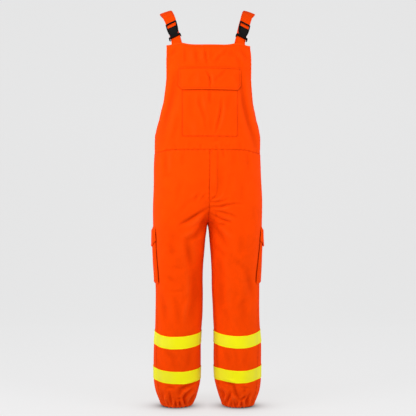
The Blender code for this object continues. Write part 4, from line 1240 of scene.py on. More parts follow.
HEM_WIDTH = 0.0085          # of the turned edges of bib and back
HEM_STITCH = HEM_WIDTH - 0.0016
SEAM_STITCH = 0.0026        # from a seam to its first row of stitches
FELL_STITCH = 0.0086        # and to its second row
ON_HEM = 0.0003             # lift of stitches on a double hem
ON_SEAM = 0.0001            # and of those drawn into a seam
STRAP_SEWN = 0.1125         # from the bib's middle to the middle of a strap's end
STRAP_ROW = 0.018           # from there to the stitches beside it
STRAP_FOOT = -0.1970        # height of the end's lowest stitches
STRAP_ENDS_BEHIND = (0.0740, 0.1120)    # ends of the rows that hold a strap to the back
STRAP_ROWS_BEHIND = (-0.2185, -0.2360)


def edge_grid(heights, first, last, step, marks):
    """Heights and metres of a panel's points, closer together near its two long edges."""
    start, end = first(heights)[:, None], last(heights)[:, None]
    width = float(np.median(end - start))
    columns = graded(0, width, step, [*marks] + [width - mark for mark in marks])
    # near an edge the columns keep their distance in metres, and in the middle they stretch
    from_start, from_end = columns[None, :], (width - columns)[None, :]
    middle = smooth((np.minimum(from_start, from_end) - 0.012) / 0.03)
    even = start + (end - start) * from_start / width
    kept = np.where(from_start < from_end, start + from_start, end - from_end)
    metres = kept * (1 - middle) + even * middle
    return np.broadcast_to(heights[:, None], metres.shape), metres


def down_flap(h):
    """Share of the way down the bib's flap at some heights."""
    return (FLAP_TOP - h) / (FLAP_TOP - FLAP_BOTTOM)


def under_flap(h, m):
    """Furrow in the cloth where the flap's sides, cut corners and foot lie over it, which through
    the shade also paints the flap's shadow into the cloth's colour.
    """
    side, foot = np.abs(m) - FLAP_HALF, FLAP_BOTTOM - h
    outside = np.maximum(np.maximum(side, foot), (side + foot + FLAP_CHAMFER) / math.sqrt(2))
    down = down_flap(h)
    depth, away = 0.0014, 0.0012
    width = 0.0020 + 0.0016 * smooth(down)
    return -depth * np.exp(-((outside - away) / width) ** 2) * smooth(down / 0.35)


def torso_panel(shell, top, armhole_foot, step, row_marks, column_step, column_marks):
    """Places on the bib or the back panel, and the relief of its hems and seams there."""
    heights = graded(top, WAIST + 0.0001, step, (top, *row_marks, WAIST, WAIST + SEAM_STITCH))
    h, m = edge_grid(heights, lambda z: -shell.reach(z)[0], lambda z: shell.reach(z)[1],
                     column_step, column_marks)
    before, after = shell.reach(h)
    to_side = np.minimum(m + before, after - m)
    armhole = h > armhole_foot
    extra = rolled(h - WAIST, 0.0010, 0.0018)
    extra += np.where(armhole, doubled(to_side, HEM_WIDTH), 0) + doubled(top - h, HEM_WIDTH)
    extra += np.where(armhole, groove(to_side, HEM_STITCH), rolled(to_side))
    extra += groove(top - h, HEM_STITCH)
    return h, m, to_side, extra


def sew_hems(sewing, shell, top, foot, count):
    """A row of stitches down each side hem as far as its foot, and one along the top hem."""
    line = np.linspace(top - HEM_STITCH, foot, count)
    for side, reach in zip(SIDES.values(), shell.reach(line)):
        sewing.sew(shell, np.stack([line, side * (reach - HEM_STITCH)], 1), ON_HEM)
    reach = shell.reach(top - HEM_STITCH)[1] - HEM_STITCH
    sewing.sew(shell, [(top - HEM_STITCH, -reach), (top - HEM_STITCH, reach)], ON_HEM)


def make_bib():
    """The bib with its hems; its stitches are returned, for the pocket to add its own."""
    thickness = settings().overalls_cloth.thickness
    shell = torso(-1)
    h, m, to_side, extra = torso_panel(
        shell, BIB_TOP, BIB_ARMHOLE_FOOT, 0.0031,
        (BIB_TOP - HEM_STITCH, BIB_TOP - HEM_WIDTH, FLAP_BOTTOM - 0.0012, POCKET_BOTTOM),
        0.0034, (0.0, HEM_STITCH, HEM_WIDTH))
    extra += pucker(m, h - WAIST, grain=0.4) + pucker(h, to_side, grain=1.1, height=0.00022)
    extra += under_flap(h, m)
    piece = layer_on(shell, "bib_cloth", h, m, -thickness, thickness, twill(), extra)
    declare(piece, "bib_front")
    sewing = Thread("bib_stitching")
    sew_hems(sewing, shell, BIB_TOP, BIB_ARMHOLE_FOOT + 0.003, 60)
    for side in SIDES.values():
        inner, outer = side * STRAP_SEWN - STRAP_ROW, side * STRAP_SEWN + STRAP_ROW
        for metre in (inner, outer):
            sewing.sew(shell, [(BIB_TOP - 0.010, metre), (STRAP_FOOT, metre)], ON_SEAM)
        sewing.sew(shell, [(STRAP_FOOT, inner), (STRAP_FOOT, outer)], ON_SEAM)
    return sewing


def make_back():
    """The back panel with its hems and the stitches that hold the straps."""
    thickness = settings().overalls_cloth.thickness
    shell = torso(1)
    h, m, _, extra = torso_panel(shell, BACK_TOP, BACK_ARMHOLE_FOOT, 0.0040,
                                 (BACK_TOP - HEM_WIDTH,), 0.0040, (0.0, HEM_WIDTH))
    extra += pucker(m, h - WAIST, grain=2.4)
    piece = layer_on(shell, "back_cloth", h, m, -thickness, thickness, twill(), extra)
    declare(piece, "back_panel")
    sewing = Thread("back_stitching")
    sew_hems(sewing, shell, BACK_TOP, BACK_ARMHOLE_FOOT + 0.005, 50)
    for side in SIDES.values():
        for height in STRAP_ROWS_BEHIND:
            sewing.sew(shell, [(height, side * metre) for metre in STRAP_ENDS_BEHIND], 0.0002)
    sewing.made(thread())


POCKET_HALF = 0.1002
POCKET_TOP = -0.2370
POCKET_BOTTOM = -0.4702
FLAP_HALF = 0.1112
FLAP_TOP = -0.2231
FLAP_BOTTOM = -0.3031
FLAP_CHAMFER = 0.0150       # size of its cut corners
PATCH = 0.0013              # thickness of pocket and flap cloth
SEWN_GAP = 0.0004           # under a layer where it is sewn down


def patch_grid(first, last, top, bottom, step, column_marks, row_marks, rise):
    """Places of a patch, finer along its edges, and their distance from its lower edge.

    The lower edge rises at the corners, as a function of the columns tells.
    """
    columns = graded(first, last, step, [first + mark for mark in column_marks]
                     + [last - mark for mark in column_marks])
    rows = graded(top, bottom, step, row_marks)
    share = (top - rows) / (top - bottom)
    low = bottom + rise(columns)
    h = top + share[:, None] * (low[None, :] - top)
    return h, np.broadcast_to(columns[None, :], h.shape), h - low[None, :]


def cut_off(from_side, size):
    """How far a straight cut across a corner rises, at distances from the side."""
    return size * np.clip(1 - from_side / size, 0, 1)


def edge_relief(nearest, hem, stitch, furrow, roll):
    """Relief of a patch's turned edge: hem (width, height) and furrow (half width, depth)."""
    return doubled(nearest, *hem) + groove(nearest, stitch, *furrow) + rolled(nearest, roll, 0.0012)


def sew_raised(sewing, shell, path, lift_at):
    """Stitches along a path, with the lift that a function gives at each of its places."""
    for start, end in zip(path, path[1:]):
        count = max(2, int(math.dist(start, end) / 0.012))
        stops = np.linspace(start, end, count + 1)
        for first, last in zip(stops, stops[1:]):
            sewing.sew(shell, [first, last], float(lift_at(*(first + last) / 2)))


def make_pocket(sewing):
    """The bib's pocket, whose mouth lies under the flap."""
    shell = torso(-1)
    inset = 0.0030

    def rounded(columns):
        return 0.0055 * np.clip(1 - (POCKET_HALF - np.abs(columns)) / 0.0060, 0, 1) ** 2

    h, m, to_low = patch_grid(
        -POCKET_HALF, POCKET_HALF, POCKET_TOP, POCKET_BOTTOM, 0.0036, (0.0, inset),
        (POCKET_TOP, POCKET_TOP - inset, POCKET_BOTTOM, POCKET_BOTTOM + inset), rounded)
    nearest = np.minimum(POCKET_HALF - np.abs(m), to_low)
    extra = edge_relief(nearest, (inset + 0.003, 0.00035), inset, (0.0015, 0.0014), 0.0006)
    extra += pucker(m, to_low, 0.021, 0.012, 0.00025, grain=0.9) + under_flap(h, m)
    piece = layer_on(shell, "bib_pocket_cloth", h, m, 0.0003, PATCH - 0.0002, twill(), extra)
    declare(piece, "bib_pocket")
    edge, foot, top = POCKET_HALF - inset, POCKET_BOTTOM + inset, FLAP_BOTTOM - 0.002
    sewing.sew(shell, [(top, -edge), (foot + 0.003, -edge), (foot, -edge + 0.003),
                       (foot, edge - 0.003), (foot + 0.003, edge), (top, edge)], PATCH + 0.0006)


def flap_stand(h, m):
    """How far the flap stands off the bib: over the pocket's mouth and a little more below."""
    down = down_flap(h)
    over_mouth, below = 0.0018 * smooth(down / 0.10), 0.0022 * smooth((down - 0.3) / 0.7)
    sway = 0.0006 * np.sin(m * 46 + 0.8) * smooth((down - 0.5) / 0.5)
    return SEWN_GAP + over_mouth + below + sway


def make_flap(sewing):
    """The flap over the bib's pocket, with its cut corners."""
    shell = torso(-1)
    inset = 0.0056
    seam = 0.0060
    h, m, to_low = patch_grid(
        -FLAP_HALF, FLAP_HALF, FLAP_TOP, FLAP_BOTTOM, 0.0034, (0.0, inset),
        (FLAP_TOP, FLAP_TOP - inset, FLAP_BOTTOM, FLAP_BOTTOM + inset),
        lambda columns: cut_off(FLAP_HALF - np.abs(columns), FLAP_CHAMFER))
    to_side = FLAP_HALF - np.abs(m)
    to_corner = (to_side + (h - FLAP_BOTTOM) - FLAP_CHAMFER) / math.sqrt(2)
    nearest = np.minimum(np.minimum(to_side, to_low), np.maximum(to_corner, 0))
    extra = edge_relief(nearest, (inset + 0.0010, 0.00040), inset, (0.0013, 0.0010), 0.0005)
    extra += rolled(FLAP_TOP - h, 0.0004, 0.0010) + groove(FLAP_TOP - h, seam, 0.0012, 0.0011)
    piece = layer_on(shell, "bib_flap_cloth", h, m, flap_stand(h, m), PATCH, twill(), extra)
    declare(piece, "bib_pocket_flap")
    edge, foot = FLAP_HALF - inset, FLAP_BOTTOM + inset
    turn = FLAP_CHAMFER - inset * (2 - math.sqrt(2))
    sew_raised(sewing, shell,
               [(FLAP_TOP - seam, -edge), (foot + turn, -edge), (foot, -edge + turn),
                (foot, edge - turn), (foot + turn, edge), (FLAP_TOP - seam, edge)],
               lambda height, metre: flap_stand(height, metre) + PATCH + 0.0003)
    sewing.sew(shell, [(FLAP_TOP - 0.0050, -edge), (FLAP_TOP - 0.0050, edge)], PATCH + 0.0016)


# ---------------------------------------------------------------- pieces on the legs
def leg_panel(word, side, face):
    """One trouser panel: its shell, its places, the relief of its seams, and its name."""
    shell = leg(side)
    front = face == "front"
    step = 0.0034 if front else 0.0042
    upper = graded(WAIST - 0.0001, CROTCH + 0.013, step, (WAIST, WAIST - SEAM_STITCH))
    lower = graded(CROTCH - 0.003, CUFF_START + 0.020, step)
    cuff = graded(CUFF_START + 0.020, HEM, 0.0022, (HEM, HEM + CUFF_STITCH), fine=0.0013)
    heights = np.concatenate((upper, NEAR_CROTCH, [CROTCH], lower, cuff[1:]))
    if front:
        h, m = edge_grid(heights, lambda z: -shell.reach(z)[0], lambda z: 0 * z,
                         0.0033, (0.0, 0.0056))
    else:
        h, m = edge_grid(heights, lambda z: 0 * z, lambda z: shell.reach(z)[1],
                         0.0044, (0.0,))
    to_side = np.abs(m)
    to_inseam = shell.reach(h)[0 if front else 1] - to_side
    above = h > CROTCH - 0.004
    centre = np.where(above, 0.35 + 0.30 * smooth((h - CROTCH - 0.02) / 0.03), 1.0)
    extra = rolled(WAIST - h, 0.0010, 0.0018) + rolled(to_side) + rolled(to_inseam) * centre
    if front:
        extra += doubled(to_side, FELL_STITCH + 0.0012, 0.00040) + felled(to_side)
        extra += (1 - smooth((h - CROTCH + 0.06) / 0.03)) * felled(to_inseam)
        # the cloth sinks where the side pocket and its flap stand against it, and through the shade
        # this furrow paints a dark shadow line in front of the pocket
        under_flap_foot = smooth((h - CARGO_FLAP_BOTTOM) / 0.006)
        ahead = cargo_metres(side)[0] - 0.0016 - 0.0030 * under_flap_foot - m
        beside = smooth((CARGO_FLAP_TOP - h) / 0.030) * smooth((h - CARGO_BOTTOM) / 0.012)
        extra -= 0.0028 * np.exp(-(ahead / 0.0036) ** 2) * beside
    else:
        extra += np.where(above, groove(to_inseam, SEAM_STITCH), 0)
    extra += groove(h, HEM + CUFF_STITCH, 0.0014, 0.0005) + doubled(h - HEM, 0.0118, 0.0004)
    extra += pucker(m, WAIST - h, grain=3.1 * side)
    extra += pucker(h, to_side, grain=side, pitch=0.023, height=0.00022)
    extra += pucker(h, to_inseam, grain=2 * side, pitch=0.019, height=0.00022)
    return shell, h, m, extra, f"trouser_{face}_{word}"


def felled(distance):
    """The two furrows of a felled seam's stitches."""
    return groove(distance, FELL_STITCH, 0.0013, 0.0006) + groove(distance, SEAM_STITCH)


CUFF_STITCH = 0.0110        # from the hem's edge up to its stitches
TAPES_START = -1.170        # where the upper tape covers the seams
BELOW_TAPES = ((-1.203, -1.296), (-1.332, HEM + 0.012))     # where they are seen again


def sew_beside(sewing, shell, run, seam, side):
    """Two rows of stitches at heights, on one side of a seam whose metres a function gives."""
    for inset in (SEAM_STITCH, FELL_STITCH):
        sewing.sew(shell, np.stack([run, seam(run) + side * inset], 1), ON_SEAM)


def sew_level(sewing, shell, height, count):
    """A row of stitches at one height along both panels of a leg."""
    before, after = shell.reach(height)
    places = np.linspace(-before, after, count)
    sewing.sew(shell, np.stack([0 * places + height, places], 1), ON_SEAM)


def make_leg(word):
    """The front and the back panel of one leg, with the stitches of its seams."""
    thickness = settings().overalls_cloth.thickness
    sewing = Thread("leg_stitching_" + word)
    for face in ("front", "back"):
        shell, h, m, extra, name = leg_panel(word, SIDES[word], face)
        piece = layer_on(shell, name + "_cloth", h, m, -thickness, thickness, twill(), extra)
        declare(piece, name)

    def side_seam(run):
        return 0 * run

    def inner_seam(run):
        return -shell.reach(run)[0]

    def back_seam(run):
        return shell.reach(run)[1]

    sew_beside(sewing, shell, np.linspace(WAIST - 0.004, TAPES_START, 120), side_seam, -1)
    for start, end in BELOW_TAPES:
        sew_beside(sewing, shell, np.linspace(start, end, 20), side_seam, -1)
    for start, end in ((CROTCH - 0.060, TAPES_START), *BELOW_TAPES):
        sew_beside(sewing, shell, np.linspace(start, end, 90), inner_seam, 1)
    sew_beside(sewing, shell, np.linspace(WAIST - 0.004, CROTCH + 0.006, 90), back_seam, -1)
    sew_level(sewing, shell, HEM + CUFF_STITCH, 200)
    sew_level(sewing, shell, WAIST - SEAM_STITCH, 60)
    sewing.made(thread())


FLY_WIDTH = 0.0275
FLY_THICKNESS = 0.0011
FLY_TOP = WAIST - 0.0025
FLY_CURVE_START = -0.6420
FLY_FOOT = -0.6880
FLY_FOOT_WIDTH = 0.005


def make_fly():
    """The J-shaped fly piece beside the centre seam, its free edge stitched down."""
    shell = leg(SIDES["right"])
    heights = graded(FLY_TOP, FLY_FOOT, 0.0036, (FLY_TOP, FLY_FOOT))
    share = np.clip((FLY_CURVE_START - heights) / (FLY_CURVE_START - FLY_FOOT), 0, 1)
    reach = FLY_FOOT_WIDTH + (FLY_WIDTH - FLY_FOOT_WIDTH) * np.sqrt(1 - share ** 2)
    part = np.concatenate((np.linspace(0, 0.82, 12), np.linspace(0.84, 1, 8)))
    start = -shell.reach(heights)[0]
    m = start[:, None] + 0.0006 + (reach[:, None] - 0.0006) * part[None, :]
    h = np.broadcast_to(heights[:, None], m.shape)
    from_free = (1 - part)[None, :] * reach[:, None]
    extra = (rolled(from_free, 0.0003, 0.0010) + groove(from_free, 0.0026, 0.0011, 0.0004)
             + rolled(m - start[:, None], 0.0006, 0.0015))
    lift = 0.0003 + 0.0004 * smooth((FLY_CURVE_START - h) / 0.02)
    piece = layer_on(shell, "fly_placket_cloth", h, m, lift, FLY_THICKNESS, twill(), extra)
    declare(piece, "fly_placket")
    sewing = Thread("fly_stitching")
    for inset in (np.maximum(reach - 0.0028, 0.002), 0.0030):
        sewing.sew(shell, np.stack([heights, start + inset], 1), FLY_THICKNESS + 0.0004)
    # a bar of close stitches at its top, and a short upright row further out
    rows_top, bar_foot, row_foot = -0.519, -0.529, -0.542
    bar_start = -shell.reach(-0.523)[0] + 0.0035
    for metre in bar_start + 0.0006 * np.arange(7):
        sewing.sew(shell, [(rows_top, metre), (bar_foot, metre)], FLY_THICKNESS + 0.0007)
    metre = -shell.reach(-0.525)[0] + 0.047
    sewing.sew(shell, [(rows_top, metre), (row_foot, metre)], ON_HEM)
    sewing.made(thread())


BELLOWS = 0.0042            # how far the side pockets stand off the leg
OVER_POCKET = BELLOWS + PATCH + SEWN_GAP
FLAP_FLARE = 0.0020         # how far their flaps stand off them at the foot
CARGO_TOP = -0.8190
CARGO_BOTTOM = -0.9920
CARGO_FLAP_TOP = -0.7880
CARGO_FLAP_BOTTOM = -0.8580


def cargo_metres(side):
    """Front and back edge of the side pocket, in metres from the side seam."""
    front, back = leg(side).reach(-0.90)
    return -float(front) / 13 - 0.008, float(back) / 2


def make_cargo(word):
    """One side pocket, standing off the leg on its bellows, and its flap."""
    side = SIDES[word]
    shell = leg(side)
    front, back = cargo_metres(side)
    sewing = Thread("cargo_stitching_" + word)
    marks = (0.0, 0.0035, 0.008)
    h, m, to_foot = patch_grid(
        front, back, CARGO_TOP, CARGO_BOTTOM, 0.0040, marks,
        [CARGO_TOP - 0.002] + [CARGO_BOTTOM + mark for mark in marks], np.zeros_like)
    nearest = np.minimum(np.minimum(m - front, back - m), to_foot)
    stand = SEWN_GAP + (BELLOWS - SEWN_GAP) * smooth(nearest / 0.0060)
    inwards = smooth(nearest / 0.02)
    stand += 0.0009 * np.sin(m * 52 + 0.6 * side) * np.sin(h * 38) * inwards
    edge = 0.0085
    extra = groove(nearest, edge, 0.0013, 0.0005) + rolled(nearest, 0.0004, 0.0012)
    for share, width, depth in ((0.30, 0.006, 0.0012), (0.62, 0.007, 0.0010)):
        line = front + (back - front) * share + 0.008 * np.sin(h * 40 + side)
        extra -= depth * np.exp(-((m - line) / width) ** 2) * inwards
    piece = layer_on(shell, "cargo_pocket_cloth_" + word, h, m, stand, PATCH, twill(), extra)
    declare(piece, "cargo_pocket_" + word)
    under, foot = CARGO_FLAP_BOTTOM - 0.004, CARGO_BOTTOM + edge
    sewing.sew(shell, [(under, front + edge), (foot, front + edge), (foot, back - edge),
                       (under, back - edge)], OVER_POCKET)
    make_cargo_flap(word, shell, front - 0.0045, back + 0.0030, sewing)
    sewing.made(thread())


def cargo_flap_stand(h, m, front, back, side):
    """How far a side pocket's flap stands off the leg; its ends come down over the sides."""
    down = (CARGO_FLAP_TOP - h) / (CARGO_FLAP_TOP - CARGO_FLAP_BOTTOM)
    stand = SEWN_GAP + (OVER_POCKET - SEWN_GAP) * smooth(down / 0.20)
    stand += FLAP_FLARE * smooth((down - 0.2) / 0.8)
    stand += 0.0008 * np.sin(m * 44 + 1.5 * side) * smooth((down - 0.5) / 0.5)
    at_ends, share_kept, lap_width = 0.0006, 0.06, 0.0078
    lap = smooth(np.minimum(m - front, back - m) / lap_width)
    return at_ends + (stand - at_ends) * (share_kept + (1 - share_kept) * lap)


def make_cargo_flap(word, shell, front, back, sewing):
    """The flap of a side pocket, with a larger cut at its front corner."""
    top, bottom = CARGO_FLAP_TOP, CARGO_FLAP_BOTTOM
    front_cut, back_cut = 0.0220, 0.0120

    def rise(columns):
        to_front, to_back = columns - front, back - columns
        return cut_off(np.minimum(to_front, to_back),
                       np.where(to_front < to_back, front_cut, back_cut))

    def stand(h, m):
        return cargo_flap_stand(h, m, front, back, SIDES[word])

    h, m, to_low = patch_grid(front, back, top, bottom, 0.0038,
                              (0.0, 0.0020, 0.0045, 0.0070, 0.0095),
                              (top, bottom, bottom + 0.0045), rise)
    edge = 0.0048
    nearest = np.minimum(np.minimum(m - front, back - m), to_low)
    extra = edge_relief(nearest, (0.0060, 0.0004), edge, (0.0013, 0.0005), 0.0004)
    extra += groove(top - h, 0.0045)
    piece = layer_on(shell, "cargo_flap_cloth_" + word, h, m, stand(h, m), PATCH, twill(), extra)
    declare(piece, "cargo_flap_" + word)
    path = [(top - 0.006, front + edge), (bottom + front_cut, front + edge),
            (bottom + edge, front + front_cut), (bottom + edge, back - back_cut),
            (bottom + back_cut, back - edge), (top - 0.006, back - edge)]
    sew_raised(sewing, shell, path, lambda height, metre: stand(height, metre) + PATCH + 0.0004)


# ---------------------------------------------------------------- tapes
TAPE_BANDS = (("tape_upper", -1.1740, -1.2170), ("tape_lower", -1.3000, -1.3440))
TAPE_STITCH = 0.0028        # from a tape's edge to its stitches
ON_TAPE = 0.0016            # lift of those stitches
SEAM_GAP = 0.0002           # from a half tape's end to the leg's seam
BAND_SHARES = (-1.0, -0.88, -0.7, -0.5, -0.3, -0.12, 0.0, 0.2, 0.8, 1.0)
# Each band is sewn on in a bow: how far it rises, in mm, at shares of the cloth from the front's
# inner seam over the side seam (0) to the back's inner seam.
BAND_BOWS = {("tape_upper", "left"): (9, 9, 7.5, 4, 3, 6, 10, 11, 8, 9),
             ("tape_upper", "right"): (12, 11, 8.5, 6, 6.5, 11, 14, 13, 8, 12),
             ("tape_lower", "left"): (5, 5, 3.5, 1, 1.5, 4.5, 8, 9, 5, 5),
             ("tape_lower", "right"): (9, 10, 6.5, 4.5, 5, 9, 12, 12, 6, 9)}


def make_tapes(word):
    """The two tapes of one leg, front and back halves, with a row of stitches at each edge."""
    side = SIDES[word]
    shell = leg(side)
    thickness = settings().overalls_tape.thickness
    sewing = Thread("tape_stitching_" + word)
    for band, top, bottom in TAPE_BANDS:
        rows = (top - TAPE_STITCH, bottom + TAPE_STITCH)
        for face in ("front", "back"):
            front = face == "front"
            bow = BAND_BOWS[band, word]

            def on_leg(level, share):
                """Height and metres of a place, by its level and its share of this face."""
                h = level + np.interp(share, BAND_SHARES, bow) / 1000
                reach = shell.reach(h)[0 if front else 1]
                return h, share * (reach - 2 * SEAM_GAP) + (-SEAM_GAP if front else SEAM_GAP)

            levels = graded(top, bottom, 0.0034, (top, bottom, *rows))
            width = float(shell.reach((top + bottom) / 2)[0 if front else 1])
            shares = graded(0, width, 0.0038, (0.0, width)) / width - (1 if front else 0)
            level, share = np.meshgrid(levels, shares, indexing="ij")
            h, m = on_leg(level, share)
            to_edge = np.minimum(top - level, level - bottom)
            to_seam = np.minimum(np.abs(share), 1 - np.abs(share)) * width
            extra = groove(to_edge, TAPE_STITCH, 0.0009, 0.00025) + rolled(to_seam, 0.0004, 0.0014)
            extra += pucker(m, to_edge, 0.024, 0.010, 0.00022, grain=side)
            outer = shell.place(h, m, SEWN_GAP + 0.0002 + thickness + extra)
            inner = shell.place(h, m, np.full(h.shape, SEWN_GAP))
            # the tape's shade: paler near its edges, and painted shade on the back and towards the
            # seams
            shade = 0.9 * np.exp(-(to_edge / 0.0030) ** 2) - tape_painted_shade(share, front)
            cut = np.stack((m, level), -1)
            name = f"{band}_{face}_{word}"
            piece = cloth_wall(name + "_band", outer, inner, cut, shade, tape_cloth())
            declare(piece, name)
            share = np.linspace(0.01, 0.99, 40)
            for row in rows:
                places = on_leg(row, -share[::-1] if front else share)
                sewing.sew(shell, np.stack(places, 1), ON_TAPE)
    sewing.made(tape_thread())


def tape_painted_shade(share, front):
    """How much painted shade a tape gets: on the back, towards the side seam and at the inner seam.
    """
    if not front:
        return 0.55
    return (1.1 * np.exp(-((share + 0.05) / 0.10) ** 2)
            + 0.5 * np.exp(-((share + 0.24) / 0.10) ** 2) + 0.7 * smooth(-share / 0.5 - 1))


@functools.cache
def tape_thread():
    """The thread that sews the tapes on."""
    return thread_material("yellow_thread", (0.80, 0.77, 0.010))


# ---------------------------------------------------------------- straps
STRAP_THICKNESS = 0.0015
STRAP_COLUMNS = 21
STRAP_STATION = 0.0032      # from one row of its points to the next
STRAP_SEWN_FROM = 0.470     # run from which the strap lies on the back panel
STRAP_STITCH = 0.0030       # from a strap's edge to its stitches


def strap_centre(run):
    """A point of the strap's middle line, which is straight along the buckle."""
    if STRAIGHT_START < run < STRAIGHT_END:
        share = (run - STRAIGHT_START) / (STRAIGHT_END - STRAIGHT_START)
        return strap_centre(STRAIGHT_START).lerp(strap_centre(STRAIGHT_END), share)
    return Vector([float(read(STRAP_LINE, axis, run, "run")) for axis in ("x", "y", "z")])


def strap_frame(run, side):
    """Centre point, across, along and outward directions of the strap at a run from its start."""
    point = strap_centre(run)
    along = (strap_centre(run + 0.001) - strap_centre(run - 0.001)).normalized()
    roll, sweep, lean = [float(read(STRAP_LINE, column, run, "run"))
                         for column in ("roll", "sweep", "lean")]
    roll, sweep = math.radians(roll), math.radians(sweep)
    across = Vector((math.cos(roll) * math.cos(sweep), math.sin(sweep), -math.sin(roll)))
    across = (across - along * across.dot(along)).normalized()
    out = across.cross(along).normalized()
    turn = Matrix.Rotation(math.radians(float(read(STANCE, "turn", point.z))), 3, "Z")
    frame = [turn @ Vector((v.x * side, v.y, v.z)) for v in (point, across, along, out)]
    frame[0].x += lean
    return frame


def denser(stations, step):
    """Stations on a smooth curve through the given ones, about a step apart."""
    stations = np.array(stations)
    result = []
    last = len(stations) - 1
    for k in range(last):
        a, b, c, d = stations[[max(k - 1, 0), k, k + 1, min(k + 2, last)]]
        count = max(2, int(np.hypot(c[0] - b[0], c[1] - b[1]) / step))
        for t in np.arange(count) / count:
            result.append(0.5 * (2 * b + (c - a) * t + (2 * a - 5 * b + 4 * c - d) * t * t
                                 + (3 * b - a - 3 * c + d) * t ** 3))
    result.append(stations[-1])
    return result


def ribbon(name, stations, side, node, sewn):
    """A doubled strap through stations, each a (run, offset outwards, width, bow)."""
    share = np.linspace(-0.5, 0.5, STRAP_COLUMNS)
    share = np.sign(share) * (1 - (1 - 2 * np.abs(share)) ** 1.35) / 2
    middle = []
    for run, offset, width, bow in stations:
        point, across, _, out = [np.array(v) for v in strap_frame(float(run), side)]
        lift = offset + bow * (1 - 4 * share ** 2)
        middle.append(point + across * (width * share)[:, None] + out * lift[:, None])
    middle = np.array(middle)
    normals = surface_normals(middle)
    # the strap's last station tells which of its faces looks outwards
    outwards = np.array(strap_frame(float(stations[-1][0]), side)[3])
    if normals[-1, STRAP_COLUMNS // 2] @ outwards < 0:
        normals = -normals
    run, _, width, _ = np.array(stations).T[:, :, None]
    to_edge = (0.5 - np.abs(share))[None, :] * width
    extra = groove(to_edge, STRAP_STITCH, 0.0010, 0.00035) + rolled(to_edge, 0.0004, 0.0008)
    extra += 0.00012 * np.sin(run * 210 + 3 * share[None, :]) * smooth(to_edge / 0.01)
    half = normals * (STRAP_THICKNESS / 2 + extra)[..., None]
    steps = np.linalg.norm(np.diff(middle[:, STRAP_COLUMNS // 2], axis=0), axis=1)
    run_along = np.concatenate(([0], np.cumsum(steps)))[:, None] + 0 * to_edge
    cut = np.stack((share[None, :] * width, run_along), -1)
    # painted shade: darker in the stitch grooves and at the rolled edges, and a little darker all
    # over
    shade = np.clip(extra / 0.0012, -1, 1) - 0.1
    piece = cloth_wall(name, middle + half, middle - half, cut, shade, twill())
    declare(piece, node)
    stitch_ribbon(sewn, middle, normals, to_edge)


def stitch_ribbon(sewn, middle, normals, to_edge):
    """A row of stitches near each edge of a strap, on both of its faces."""
    half = STRAP_COLUMNS // 2
    for flip in (False, True):
        line, out = [], []
        for points, directions, distances in zip(middle, normals, to_edge):
            place = float(np.interp(STRAP_STITCH, distances[:half + 1], np.arange(half + 1)))
            place = STRAP_COLUMNS - 1 - place if flip else place
            c = int(place)
            u = place - c
            line.append(points[c] * (1 - u) + points[c + 1] * u)
            out.append(directions[c] * (1 - u) + directions[c + 1] * u)
        line, out = np.array(line), np.array(out)
        run, places = stitch_places(line)

        def at(shift, source):
            return np.stack([np.interp(places + shift, run, source[:, k]) for k in range(3)], 1)

        reach = 0.4 * settings().overalls_sewing.pitch
        along = at(reach, line) - at(-reach, line)
        for face in (1, -1):
            facing = at(0, out) * face
            sewn.strew(at(0, line) + facing * (STRAP_THICKNESS / 2 - 0.0001), along, facing)


def make_strap(word):
    """The shoulder strap, looped round the buckle's bar, and the short end on the bib."""
    side = SIDES[word]
    sewn = Thread("strap_stitching_" + word)
    bar = BUCKLE_RUN + BAR_UP
    loop = [(0.0030, -0.0004), (-0.0004, -0.0004), (-0.0023, 0.0007), (-0.0029, 0.0023),
            (-0.0022, 0.0040), (0.0002, 0.0050), (0.0034, 0.0044), (0.0066, 0.0018)]
    stations = [(bar + up, offset, STRAP_IN_WINDOW, 0.0) for up, offset in loop]
    stations += [(bar + 0.0096, -0.0003, 0.0330, 0.0), (bar + 0.0130, -0.0009, 0.0360, 0.0),
                 (bar + 0.0200, -0.0009, STRAP_WIDTH, 0.0)]
    run = bar + 0.0420
    while run < STRAP_SEWN_FROM:
        stations.append((run, -0.0008, STRAP_WIDTH, 0.0012))
        run += 0.0240
    stations += [(run, 0.0, STRAP_WIDTH, bow)
                 for run, bow in ((0.482, 0.0005), (0.498, 0.0), (0.522, 0.0))]
    stub = [(run, offset, STUB_WIDTH, 0.0)
            for run, offset in ((0.004, 0.0), (0.022, 0.0), (0.040, 0.0), (0.056, 0.0),
                                (0.066, -0.0008), (0.076, -0.0022), (0.092, -0.0024))]
    for kind, line, flat in (("strap", stations, (STRAP_WIDTH, 0.410)),
                             ("strap_stub", stub, (STUB_WIDTH, 0.088))):
        ribbon(f"{kind}_cloth_{word}", denser(line, STRAP_STATION), side, f"{kind}_{word}",
               sewn)
    sewn.made(thread())


# ---------------------------------------------------------------- buckles
def make_buckle(word):
    """Gives one buckle's three solids their plastic."""
    for part in ("plug", "socket", "bar"):
        for slot in bpy.data.objects[f"buckle_{part}_{word}"].material_slots:
            slot.material = plastic()


# ---------------------------------------------------------------- stage
CAMERA_ACROSS = 0.0022
CAMERA_UP = -0.7194         # level with the middle of the photographed garment


